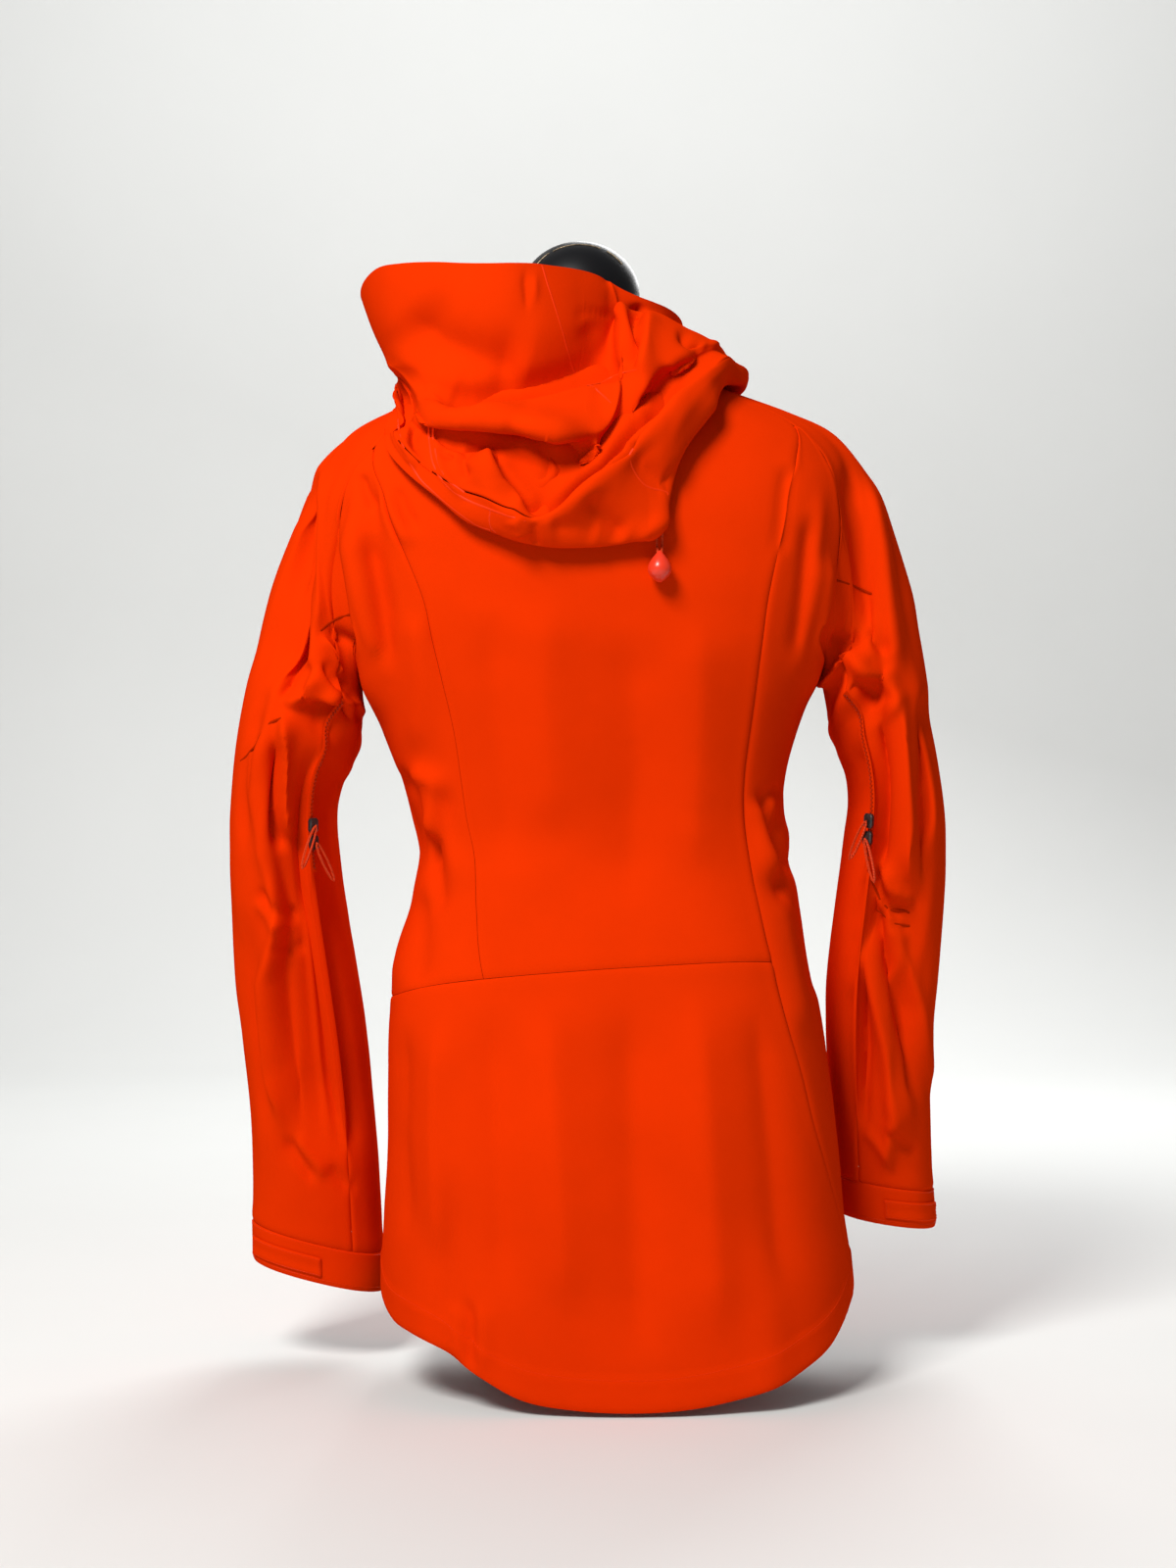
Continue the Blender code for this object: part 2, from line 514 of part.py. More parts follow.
def side_back(name, side, first_row, last_row, cloth):
    """The panel between the princess seam and the side seam or the armhole."""
    grid, normals = [], []
    for row in range(first_row, last_row + 1):
        inner_seam = SKIRT_SEAM if row < WAIST_ROW else PRINCESS_SEAM
        outer_seam = SIDE_SEAM if row < UNDERARM_ROW else RAGLAN_BACK
        inner = seam_place(inner_seam, row, side)[0]
        if side > 0 and row == WAIST_ROW:
            inner = max(inner, seam_place(SKIRT_SEAM, row, 1)[0])
        outer = seam_place(outer_seam, row, side)[0]
        half = float(column(BODY_SECTIONS, 2, float(row_height(inner, row))))
        inner += side * SEAM / half
        angles = np.linspace(inner, outer, 6)
        heights = np.array([float(row_height(a, row)) for a in angles])
        if row == first_row and first_row == WAIST_ROW:
            heights = heights + SEAM
        grid.append(body(angles, heights))
        normals.append(body_normal(angles, heights))
    grid[-1] = grid[-2] + (grid[-1] - grid[-2]) * TIP
    wall(name, np.array(grid)[:, ::side], np.array(normals)[:, ::side], WALL, cloth)


def front_panel(name, side, cloth):
    """From the side seam or armhole round to the zip at centre front."""
    grid, normals = [], []
    for row in range(0, TOP_ROW + 1):
        outer_seam = SIDE_SEAM if row < UNDERARM_ROW else RAGLAN_FRONT
        outer = seam_place(outer_seam, row, side)[0]
        outer += side * SEAM / 0.15
        inner = zip_edge(lambda angle: body(angle, row_height(angle, row)), side)
        angles = np.linspace(outer, inner, 9)
        heights = np.array([float(row_height(a, row)) for a in angles])
        grid.append(body(angles, heights))
        normals.append(body_normal(angles, heights))
    wall(name, np.array(grid)[:, ::side], np.array(normals)[:, ::side], WALL, cloth)


def zip_edge(surface, side):
    """Angle at which a surface, given as a function of angle, meets the zip, whose line stays on x = 0."""
    near, far = math.pi - 0.4, math.pi + 0.2
    for _ in range(30):
        middle = (near + far) / 2
        x = float(surface(np.array(side * middle))[0])
        near, far = (middle, far) if side * x > ZIP_HALF + SEAM else (near, middle)
    return side * near


# ------------------------------------------------------------------ collar and zip
def collar_surface(angle, part):
    """The stand collar from the neckline (0) to its top (1)."""
    low = body(angle, neck_height(angle))
    (half_x, half_y), (cx, cy) = COLLAR_TOP
    c = np.cos(angle)
    top_z = COLLAR_TOP_BACK + (COLLAR_TOP_FRONT - COLLAR_TOP_BACK) * (1 - c) / 2
    high = np.stack([cx * (1 + c) / 2 + half_x * np.sin(angle), cy - half_y * c, top_z + 0 * angle], -1)
    part = np.asarray(part, float)[..., None]
    return low + (high - low) * (0.02 + 0.98 * part)


def build_collar(cloth):
    rows = []
    for i in range(COLLAR_STEPS + 1):
        part = i / COLLAR_STEPS
        left = zip_edge(lambda angle: collar_surface(angle, np.array(part)), -1)
        right = zip_edge(lambda angle: collar_surface(angle, np.array(part)), 1)
        angles = np.linspace(left, right, COLLAR_COLUMNS)
        rows.append(collar_surface(angles, np.full_like(angles, part)))
    grid = np.array(rows)
    wall("collar", grid, grid_normals(grid), WALL, cloth)


def zip_line():
    """Centre front, from the hem to the top of the collar, as points on x = 0 with the way out of each."""
    path = []
    for row in range(0, TOP_ROW + 1):
        height = float(row_height(math.pi, row))
        ends = [zip_edge(lambda angle: body(angle, height), side) for side in (-1, 1)]
        point = body(np.array([ends[0] + 2 * math.pi, ends[1]]), np.array([height, height])).mean(axis=0)
        path.append((0.0, point[1], point[2]))
    for i in range(1, COLLAR_STEPS + 1):
        point = collar_surface(np.array(math.pi), np.array(i / COLLAR_STEPS))
        path.append((0.0, point[1], point[2]))
    return np.array(path)


def build_front_zip(tape, metal, trim):
    path = zip_line()
    ahead = unit(np.gradient(path, axis=0))
    out = np.cross(ahead, np.array([1.0, 0.0, 0.0]))
    out = out * np.sign(out[:, 1:2])
    grid = np.stack([path + np.array([x, 0, 0]) for x in (ZIP_HALF, -ZIP_HALF)], axis=1)
    wall("front_zip", grid, np.repeat(out[:, None, :], 2, axis=1), WALL, tape)
    at = len(path) - 2
    seat, up, away = path[at], ahead[at], out[at]
    side = np.array([1.0, 0.0, 0.0])
    slider = seat + away * (SEAM + 0.0022)
    block("front_slider", slider, (side, up, away), (0.0045, 0.0065, 0.0022), metal)
    hinge = seat + away * (SEAM + 0.0044 + SEAM + 0.0016) + up * 0.002
    drop = np.array([0.0, 0.0, -1.0])
    front = np.array([0.0, 1.0, 0.0])
    halves = (0.0036, 0.0150, 0.0012)
    block("front_pull", hinge + drop * (halves[1] - 0.0005), (side, drop, front), halves, trim, origin=hinge)
    return hinge


# ------------------------------------------------------------------ sleeves
def armhole(side):
    """The armhole loop from the middle of the neckline stretch, down the front and up the back.

    Returns its points, the body's normals there, and the way across the seam towards the sleeve.
    """
    top_back = seam_place(RAGLAN_BACK, TOP_ROW, side)[0]
    top_front = seam_place(RAGLAN_FRONT, TOP_ROW, side)[0]
    middle = (top_back + top_front) / 2
    places = [(middle, TOP_ROW), ((middle + top_front) / 2, TOP_ROW)]
    rows = range(TOP_ROW, UNDERARM_ROW - 1, -1)
    places += [(seam_place(RAGLAN_FRONT, row, side)[0], row) for row in rows]
    places += [(seam_place(RAGLAN_BACK, row, side)[0], row) for row in reversed(rows) if row > UNDERARM_ROW]
    places += [((middle + top_back) / 2, TOP_ROW)]
    angles = np.array([a for a, row in places])
    heights = np.array([float(row_height(a, row)) for a, row in places])
    points = body(angles, heights)
    normals = body_normal(angles, heights)
    along = np.roll(points, -1, axis=0) - np.roll(points, 1, axis=0)
    across = unit(np.cross(along, normals)) * side
    return points, normals, across


def sleeve_section(side_name, part):
    """Smooth sleeve section at a part (0 to 1) of the way from the first section to the cuff."""
    table = SLEEVE_SECTIONS[side_name]
    side = -1 if side_name == "left" else 1
    at = part * (len(table) - 1)
    values = [float(smooth(at, range(len(table)), [row[i] for row in table])) for i in range(6)]
    outer_z, outer_x, inner_z, inner_x, middle_y, half_depth = values
    phase = 2 * math.pi * np.arange(SLEEVE_TURN) / SLEEVE_TURN
    outer = np.array([side * outer_x, middle_y, outer_z])
    inner = np.array([side * inner_x, middle_y, inner_z])
    centre, half = (outer + inner) / 2, (outer - inner) / 2
    depth = np.array([0.0, half_depth, 0.0])
    swell = 1 + 0.05 * np.sin(2 * phase) ** 2
    return centre + (np.cos(phase) * swell)[:, None] * half + (np.sin(phase) * swell)[:, None] * depth


def sleeve_grid(side_name):
    side = -1 if side_name == "left" else 1
    loop, loop_normals, across = armhole(side)
    gaps = np.full(SLEEVE_TURN, SLEEVE_SEAM)
    gaps[[0, 1, -1]] = NECK_SEAM
    start = loop + across * gaps[:, None]
    first = sleeve_section(side_name, 0.0)
    ahead = unit(sleeve_section(side_name, 0.04) - first)
    reach = np.linalg.norm(first - start, axis=1, keepdims=True)
    chord = unit(first - start)
    flat = chord - loop_normals * np.sum(chord * loop_normals, axis=1, keepdims=True)
    phase = 2 * math.pi * np.arange(SLEEVE_TURN) / SLEEVE_TURN
    low = np.clip(-np.cos(phase), 0, 1)[:, None]
    leave = unit(unit(flat + 0.9 * across) * (1 - low) + (0.6 * loop_normals + 0.6 * chord) * low)
    leave = leave * reach * (SHOULDER_LEAVE * (1 - low) + 0.6 * low)
    arrive = ahead * reach * (SHOULDER_ARRIVE * (1 - low) + 0.9 * low)
    nearness = ((1 + np.cos(phase)) / 2)[:, None] ** 1.5
    rows = [start]
    for i in range(1, SHOULDER_ROWS):
        t = i / SHOULDER_ROWS
        row = (start * (1 + 2 * t) * (1 - t) ** 2 + leave * t * (1 - t) ** 2
               + first * t * t * (3 - 2 * t) + arrive * t * t * (t - 1))
        x, y, z = SHOULDER_LINE[i - 1]
        row = row + nearness * (np.array([side * x, y, z]) - row[0])
        rows.append(lay_on_body(row, SHOULDER_HOLD[i - 1] * (1 - low[:, 0]), side))
    rows += [sleeve_section(side_name, i / SLEEVE_ROWS) for i in range(SLEEVE_ROWS + 1)]
    grid = np.array(rows)
    for _ in range(SHOULDER_EASE):
        inner = grid[1:SHOULDER_ROWS]
        beside = np.roll(inner, 1, axis=1) + np.roll(inner, -1, axis=1)
        above_and_below = grid[:SHOULDER_ROWS - 1] + grid[2:SHOULDER_ROWS + 1]
        grid[1:SHOULDER_ROWS] = inner / 2 + (above_and_below + beside) / 8
    for i in range(1, SHOULDER_ROWS):
        grid[i] = lay_on_body(grid[i], np.zeros(SLEEVE_TURN), side)
    normals = grid_normals(grid, closed=True) * -side
    count = len(rows)
    along = np.linspace(0, 1, count)[:, None] * np.ones((1, SLEEVE_TURN))
    around = np.ones((count, 1)) * np.arange(SLEEVE_TURN)[None, :] / SLEEVE_TURN
    lift = np.zeros(grid.shape[:2])
    for a0, r0, a1, r1, half_width, height in SLEEVE_FOLDS[side_name]:
        run = np.array([(a1 - a0) * 0.62, (r1 - r0) * 0.34])
        length = np.hypot(*run)
        da, dr = (along - a0) * 0.62, ((around - r0 + 0.5) % 1.0 - 0.5) * 0.34
        t = (da * run[0] + dr * run[1]) / length ** 2
        off = (da * run[1] - dr * run[0]) / length
        end = np.clip(np.minimum(t, 1 - t) / 0.3 + 0.35, 0, 1)
        lift += height * np.exp(-(off / half_width) ** 2) * end * end * (3 - 2 * end)
    ease = np.clip(np.minimum(along / 0.10, (1 - along) / 0.06), 0, 1)
    grid = grid + normals * (lift * ease)[..., None]
    normals = grid_normals(grid, closed=True) * -side
    normals[0] = unit(normals[0] + loop_normals * (1 - low))
    return grid, normals


def lay_on_body(points, hold, side):
    """Moves points inside the body's surface out on to it, and draws those outside towards it by a share."""
    angles, heights = np.meshgrid(np.radians(np.arange(30, 151, 2.0)), np.linspace(0.54, 0.805, 107))
    surface = plain_body(side * angles.ravel(), heights.ravel())
    away = body_normal(side * angles.ravel(), heights.ravel())
    laid = []
    for point, share in zip(points, hold):
        near = np.argmin(np.sum((surface - point) ** 2, axis=1))
        depth = float(np.dot(point - surface[near], away[near]))
        laid.append(point - away[near] * depth * (share if depth > 0 else 1.0))
    return np.array(laid)


def shrink_edge(grid, first, gap):
    """Moves one side column of a panel inwards along its row by the seam gap."""
    grid = grid.copy()
    edge, beside = (0, 1) if first else (-1, -2)
    grid[:, edge] += unit(grid[:, beside] - grid[:, edge]) * gap
    return grid


def build_sleeve(side_name, cloth, trim, tape, metal):
    side = -1 if side_name == "left" else 1
    grid, normals = sleeve_grid(side_name)
    upper = [c % SLEEVE_TURN for c in range(UNDER_TO, UNDER_FROM + SLEEVE_TURN + 1)]
    under = list(range(UNDER_FROM, UNDER_TO + 1))
    for name, columns, gap in (("sleeve_" + side_name, upper, 0.0), ("underarm_" + side_name, under, SEAM)):
        panel = grid[:, columns]
        if gap:
            panel = shrink_edge(shrink_edge(panel, True, gap), False, gap)
        wall(name, panel, normals[:, columns], WALL, cloth)
    build_cuff(side_name, side, grid, normals, cloth, trim)
    return build_pit_zip(side_name, side, grid, normals, tape, metal, trim)


def build_cuff(side_name, side, grid, normals, cloth, trim):
    end, before = grid[-1], grid[-3]
    ahead = unit((end - before).mean(axis=0))
    rows = []
    for i in range(3):
        part = (0.0, 0.3, 1.0)[i]
        out = normals[-1] * CUFF_STANDS_OUT * min(1.0, part * 4)
        rows.append(end + ahead * (SEAM + part * CUFF_HIGH) + out)
    cuff = np.array(rows)
    wall("cuff_" + side_name, cuff, np.repeat(normals[-1:], 3, axis=0), WALL, cloth, closed=True)
    columns = list(range(19, 25))
    low, high = cuff[1][columns], cuff[2][columns]
    tab = np.array([low, low + (high - low) * 0.72]) + normals[-1][columns] * (SEAM + WALL)
    wall("cuff_tab_" + side_name, tab, np.repeat(normals[-1:, columns], 2, axis=0), WALL, cloth)


def build_pit_zip(side_name, side, grid, normals, tape, metal, trim):
    """The zip under the arm, along the back edge of the underarm strip, with two sliders at its low end."""
    rows = range(SHOULDER_ROWS, SHOULDER_ROWS + 7)
    seam = grid[:, UNDER_TO]
    beside_a, beside_b = grid[:, UNDER_TO - 1], grid[:, UNDER_TO + 1]
    half = 0.0034
    strip = []
    for r in rows:
        a = seam[r] + unit(beside_a[r] - seam[r]) * half
        b = seam[r] + unit(beside_b[r] - seam[r]) * half
        lift = PIT_ZIP_LIFT
        n = normals[r, UNDER_TO]
        strip.append([a + normals[r, UNDER_TO - 1] * lift * 0.3 + n * lift * 0.7, seam[r] + n * lift,
                      b + normals[r, UNDER_TO + 1] * lift * 0.3 + n * lift * 0.7])
    strip = np.array(strip)
    strip_out = np.repeat(normals[list(rows), UNDER_TO][:, None, :], 3, axis=1)
    wall("pit_zip_" + side_name, strip[:, ::side] if side < 0 else strip, strip_out, 0.0010, tape)
    hinges = []
    for number, at in enumerate((SHOULDER_ROWS + 4.7, SHOULDER_ROWS + 5.2)):
        low, part = int(at), at - int(at)
        seat = seam[low] * (1 - part) + seam[low + 1] * part
        away = unit(normals[low, UNDER_TO] * (1 - part) + normals[low + 1, UNDER_TO] * part)
        down = unit(seam[low + 1] - seam[low])
        down = unit(down - away * down.dot(away))
        across = np.cross(down, away)
        seat = seat + away * PIT_ZIP_LIFT
        centre = seat + away * (SEAM + 0.0018)
        name = side_name + "_" + str(number + 1)
        block("pit_slider_" + name, centre, (across, down, away), (0.0040, 0.0055, 0.0018), metal)
        hinge = seat + away * (SEAM + 0.0036 + SEAM + 0.0014)
        lean = unit(down + across * PIT_PULL_LEAN * (1 if number == 0 else -1))
        aside = np.cross(away, lean)
        loop = []
        for i in range(12):
            a = 2 * math.pi * i / 12
            drop = (1 - math.cos(a)) / 2
            width = aside * (PIT_PULL_HALF * math.sin(a))
            loop.append(hinge + width + lean * (PIT_PULL_LONG * drop) + away * (0.001 * drop))
        ring("pit_pull_" + name, np.array(loop), away, 0.0010, trim, hinge)
        hinges.append((hinge, across))
    return hinges


def ring(name, path, away, radius, finish, hinge, sides=5):
    """A closed loop of cord, with its origin on its hinge."""
    ahead = unit(np.roll(path, -1, axis=0) - np.roll(path, 1, axis=0))
    across = unit(np.cross(ahead, away))
    count = len(path)
    points = []
    for p, n in zip(path, across):
        for i in range(sides):
            a = 2 * math.pi * i / sides
            points.append(p + radius * (math.cos(a) * n + math.sin(a) * away))
    faces = []
    for r in range(count):
        s = (r + 1) % count
        for i in range(sides):
            j = (i + 1) % sides
            faces.append((r * sides + i, r * sides + j, s * sides + j, s * sides + i))
    return solid(name, points, faces, finish, origin=hinge)


# ------------------------------------------------------------------ the hood
def body_reach(azimuth, height):
    """How far the body's surface is from the neck's axis, in one direction and at one height."""
    angles = np.linspace(-math.pi, math.pi, 1441)
    points = plain_body(angles, np.full_like(angles, height))
    dx, dy = points[:, 0] - NECK[0], NECK[1] - points[:, 1]
    off = np.abs((np.arctan2(dx, dy) - azimuth + math.pi) % (2 * math.pi) - math.pi)
    return float(np.hypot(dx, dy)[np.argmin(off)])


def collar_samples():
    """The collar's surface as rows of azimuth, reach, height and part of its height."""
    angles, parts = np.meshgrid(np.linspace(-math.pi, math.pi, 361), np.linspace(0, 1, 26))
    points = collar_surface(angles, parts)
    dx, dy = points[..., 0] - NECK[0], NECK[1] - points[..., 1]
    table = np.stack([np.arctan2(dx, dy), np.hypot(dx, dy), points[..., 2], parts], -1)
    return table.reshape(-1, 4)


def collar_band(collar, azimuth):
    off = np.abs((collar[:, 0] - azimuth + math.pi) % (2 * math.pi) - math.pi)
    return collar[off < 0.02]


def under_reach(collar, azimuth, height):
    """How far the body or the collar is from the neck's axis."""
    band = collar_band(collar, azimuth)
    level = band[np.abs(band[:, 2] - height) < 0.003]
    return max([body_reach(azimuth, height)] + list(level[:, 1]))


def hood_profile(degrees, collar):
    """One section of the hood: (reach, height) from the brim over the folds and under to the nape."""
    stations = [row[0] for row in HOOD_SECTIONS]
    azimuth = math.radians(degrees)
    knots = []
    for i in range(1, HOOD_LINES + 1):
        reach = float(smooth(degrees, stations, [row[i][0] for row in HOOD_SECTIONS])) / 1000
        height = float(smooth(degrees, stations, [row[i][1] for row in HOOD_SECTIONS])) / 1000
        knots.append((max(reach, under_reach(collar, azimuth, height) + HOOD_CLEAR + HOOD_LOFT), height))
    lip_reach, lip_z = knots[-1]
    bottom_z = float(smooth(degrees, stations, [row[-1] for row in HOOD_SECTIONS])) / 1000
    while bottom_z < lip_z - 0.018:
        if under_reach(collar, azimuth, bottom_z) + HOOD_CLEAR <= lip_reach - BAG_FOLD - 0.002:
            break
        bottom_z += 0.002
    bottom_reach = under_reach(collar, azimuth, bottom_z) + HOOD_CLEAR + 0.0005
    knots[-1] = (max(lip_reach, bottom_reach + BAG_FOLD - 0.001), lip_z)
    bulge = FLANK_BULGE * min(1.0, (lip_z - bottom_z) / 0.04)
    knots.append(((lip_reach + bottom_reach + BAG_FOLD) / 2 + bulge, lip_z * 0.5 + bottom_z * 0.5))
    knots.append((bottom_reach + BAG_FOLD, bottom_z + 0.0005))
    knots.append((bottom_reach, bottom_z + 0.0015))
    band = collar_band(collar, azimuth)
    nape = band[np.argmin(np.abs(band[:, 3] - (0.16 + 0.30 * (1 - math.cos(azimuth)))))]
    rise = float(nape[2]) - bottom_z
    for part in (0.2, 0.45, 0.7, 0.88):
        height = bottom_z + rise * part
        knots.append((under_reach(collar, azimuth, height) + HOOD_CLEAR, height))
    corner = 2 * NAPE_CLEAR * math.sin(azimuth) ** 2 if abs(degrees) > 80 else 0.0
    knots.append((float(nape[1]) + NAPE_CLEAR + corner, float(nape[2])))
    knots = np.array(knots)
    chord = np.concatenate([[0], np.cumsum(np.hypot(*np.diff(knots, axis=0).T) ** 0.6)])
    places = [0.0]
    for i, count in enumerate(HOOD_STEPS):
        places += [chord[i] + (chord[i + 1] - chord[i]) * (k + 1) / count for k in range(count)]
    profile = np.stack([smooth(places, chord, knots[:, i], level=True) for i in (0, 1)], -1)
    profile[1:-1] = profile[1:-1] / 2 + (profile[:-2] + profile[2:]) / 4
    for point in profile[:-1]:
        point[0] = max(point[0], under_reach(collar, azimuth, point[1]) + HOOD_CLEAR)
    return profile


def hood_point(degrees, profile):
    azimuth = math.radians(degrees)
    x = NECK[0] + profile[:, 0] * math.sin(azimuth)
    y = NECK[1] - profile[:, 0] * math.cos(azimuth)
    return np.stack([x, y, profile[:, 1]], -1)


def build_hood(cloth, toggle_finish, cord_finish):
    collar = collar_samples()
    grid = np.stack([hood_point(a, hood_profile(a, collar)) for a in HOOD_ANGLES], axis=1)
    normals = grid_normals(grid) * -1
    parts = (("hood_left", grid[:LIP_ROW + 1, :HOOD_SPLIT + 1], normals[:LIP_ROW + 1, :HOOD_SPLIT + 1], "right"),
             ("hood_right", grid[:LIP_ROW + 1, HOOD_SPLIT:], normals[:LIP_ROW + 1, HOOD_SPLIT:], None),
             ("hood_back", grid[LIP_ROW:], normals[LIP_ROW:], "top"))
    for name, panel, out, gap_side in parts:
        panel = panel.copy()
        if gap_side == "right":
            panel = shrink_edge(panel, False, SEAM)
        if gap_side == "top":
            panel[0] += unit(panel[1] - panel[0]) * 3 * SEAM
        wall(name, panel, out, HOOD_WALL, cloth)
    build_toggle(toggle_finish, cord_finish)


def build_toggle(toggle_finish, cord_finish):
    """The adjuster's teardrop and its two short strands, which come out at the bottom of the bag."""
    body_gap = 0.010
    height = 0.633
    x = 0.046
    angle = math.asin((x - float(column(BODY_SECTIONS, 1, height))) / float(column(BODY_SECTIONS, 2, height)))
    seat = body(np.array(angle * 0.93), np.array(height)) - np.array([0.0, body_gap, 0.0])
    centre = (float(seat[0]), float(seat[1]))
    profile = []
    long, wide = 0.0235, 0.0084
    for i in range(1, 10):
        t = i / 10
        radius = wide * math.sin(math.pi * t) ** 0.8 * (1.12 - 0.55 * t)
        profile.append((radius, height - long / 2 + long * t))
    turned("hood_toggle", profile, centre, toggle_finish, sides=14)
    top = profile[-1][1] + SEAM
    for name, shift in (("hood_cord_1", -0.0014), ("hood_cord_2", 0.0014)):
        path = []
        for t, rise, inwards in STRAND:
            path.append((centre[0] + shift * (1 + 0.5 * t), centre[1] + inwards, top + rise))
        tube(name, path, 0.0009, cord_finish, sides=6)


# ------------------------------------------------------------------ the dress form
def build_form(cover, gloss, steel):
    heights = [FORM_FLOOR, 0.200, 0.265, 0.325, 0.375, 0.420, 0.465, 0.515, 0.570, 0.625, 0.665, 0.695, 0.715, 0.733,
               0.748, 0.762, 0.775, 0.787, 0.797]
    sides = 32
    angles = 2 * math.pi * np.arange(sides) / sides
    rings = []
    for height in heights:
        level = np.full(sides, height)
        seat = math.exp(-((height - SEAT_HEIGHT) / 0.030) ** 2)
        seat = seat * np.clip((np.abs(np.cos(angles)) - 0.5) / 0.2, 0, 1)
        gap = FORM_GAP + (SEAT_GAP - FORM_GAP) * seat
        ring_points = plain_body(angles, level) - body_normal(angles, level) * (WALL + gap)[:, None]
        over = np.abs(ring_points[:, 0]) - (FORM_HALF - 0.020)
        eased = FORM_HALF - 0.020 * np.exp(-np.maximum(over, 0) / 0.020)
        ring_points[:, 0] = np.where(over > 0, np.sign(ring_points[:, 0]) * eased, ring_points[:, 0])
        if height == FORM_FLOOR:
            ring_points[:, 2] = height
        rings.append(ring_points)
    for part, height in ((0.55, 0.806), (0.85, 0.815), (1.0, 0.826), (1.0, CAP_LOW - SEAM)):
        base = rings[len(heights) - 1]
        neck = np.stack([NECK[0] + NECK_RADIUS * np.sin(angles), NECK[1] - NECK_RADIUS * np.cos(angles),
                         np.full(sides, height)], -1)
        rings.append(base + (neck - base) * part)
    points = np.array(rings).reshape(-1, 3)
    faces = [tuple(range(sides))]
    for r in range(len(rings) - 1):
        for i in range(sides):
            j = (i + 1) % sides
            a, b, c, d = r * sides + i, r * sides + j, (r + 1) * sides + j, (r + 1) * sides + i
            faces.append((a, b, c))
            faces.append((a, c, d))
    faces.append(tuple((len(rings) - 1) * sides + i for i in reversed(range(sides))))
    solid("form_body", points, faces, cover)
    cap = [(NECK_RADIUS, CAP_LOW), (NECK_RADIUS + 0.0004, CAP_TOP - CAP_DOME)]
    for i in range(1, 8):
        a = math.pi / 2 * i / 7.4
        cap.append(((NECK_RADIUS + 0.0004) * math.cos(a), CAP_TOP - CAP_DOME + CAP_DOME * math.sin(a)))
    turned("form_neck_cap", cap, NECK, gloss, sides=24)
    floor = GROUND + BASE_HIGH
    pole = [(POLE_RADIUS, floor + SEAM), (POLE_RADIUS, FORM_FLOOR - SEAM)]
    turned("form_pole", pole, BASE_CENTRE, steel, sides=16)
    turned("form_base", [(BASE_RADIUS, GROUND), (BASE_RADIUS, floor - 0.003), (BASE_RADIUS - 0.003, floor)],
           BASE_CENTRE, gloss, sides=32)


def main():
    for old in list(bpy.data.objects):
        bpy.data.objects.remove(old)
    cloth = material("shell_cloth", ORANGE, 0.55)
    trim = material("cord_trim", ORANGE_TRIM, 0.6)
    tape = material("zip_tape", ORANGE, 0.5)
    metal = material("slider_metal", GUNMETAL, 0.35, 0.8)
    red = material("toggle_gloss", RED_GLOSS, 0.2)
    cover = material("form_cover", BLACK, 0.8)
    gloss = material("form_gloss", BLACK, 0.15)
    steel = material("pole_steel", STEEL, 0.3, 1.0)
    build_body(cloth)
    build_collar(cloth)
    build_front_zip(tape, metal, trim)
    for side_name in ("left", "right"):
        build_sleeve(side_name, cloth, trim, tape, metal)
    build_hood(cloth, red, trim)
    build_form(cover, gloss, steel)


main()
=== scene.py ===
"""A hooded shell jacket on its dress form: cloth, sewing, zips and light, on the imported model."""
import math

import bpy
import numpy as np
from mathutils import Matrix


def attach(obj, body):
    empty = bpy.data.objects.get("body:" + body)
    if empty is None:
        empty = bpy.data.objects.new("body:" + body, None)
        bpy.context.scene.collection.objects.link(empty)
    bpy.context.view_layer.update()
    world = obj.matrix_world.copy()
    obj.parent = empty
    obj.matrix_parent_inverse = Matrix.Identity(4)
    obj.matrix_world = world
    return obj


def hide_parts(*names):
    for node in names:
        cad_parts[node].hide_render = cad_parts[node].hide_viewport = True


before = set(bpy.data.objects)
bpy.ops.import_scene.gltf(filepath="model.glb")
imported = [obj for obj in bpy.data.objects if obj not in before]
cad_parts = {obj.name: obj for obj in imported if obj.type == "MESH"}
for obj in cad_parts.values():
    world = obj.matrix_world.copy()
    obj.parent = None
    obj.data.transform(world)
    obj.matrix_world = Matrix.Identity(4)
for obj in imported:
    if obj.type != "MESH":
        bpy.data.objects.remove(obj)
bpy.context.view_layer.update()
ROOT = "jacket_on_form"
SIDES = {"left": -1, "right": 1}

# ------------------------------------------------------------------ the part's own sizes, in metres
WALL = 0.0014            # cloth, with its seam tape and facing
SEAM = 0.0003            # gap between two sewn edges
SLEEVE_SEAM = 0.00045    # the same round an armhole
NECK_SEAM = 0.0009       # the same where a sleeve meets the collar
FORM_GAP = 0.0095        # form to cloth, where the cloth hangs free
SEAT_GAP = 0.0016        # form to cloth, over the shoulder blades, where the cloth rests
SQUARENESS = 0.045       # third harmonic that squares off a body section
NECK = (-0.008, 0.045)   # axis of the neck
NECKLINE = 0.800         # height of the neckline at the sides
NAPE_DIP, THROAT_DIP = 0.003, 0.055      # how far it is lower behind and in front
GROUND = 0.0172          # level of the surface under the base, in the heights used below
FORM_FLOOR = 0.135       # underside of the form's torso
FORM_HALF = 0.168        # half the form across its shoulders
FORM_EASE = 0.020        # over which its shoulders turn down
SEAT_HEIGHT = 0.735      # of the shoulder blades
FORM_HEIGHTS = (FORM_FLOOR, 0.200, 0.265, 0.325, 0.375, 0.420, 0.465, 0.515, 0.570, 0.625, 0.665, 0.695,
                0.715, 0.733, 0.748, 0.762, 0.775, 0.787, 0.797)
NECK_RADIUS = 0.0470
CAP_LOW, CAP_TOP, CAP_DOME = 0.846, 0.904, 0.042
# From the form's shoulder to its neck: part of the way, and height.
FORM_NECK = ((0.55, 0.806), (0.85, 0.815), (1.0, 0.826), (1.0, CAP_LOW - SEAM))
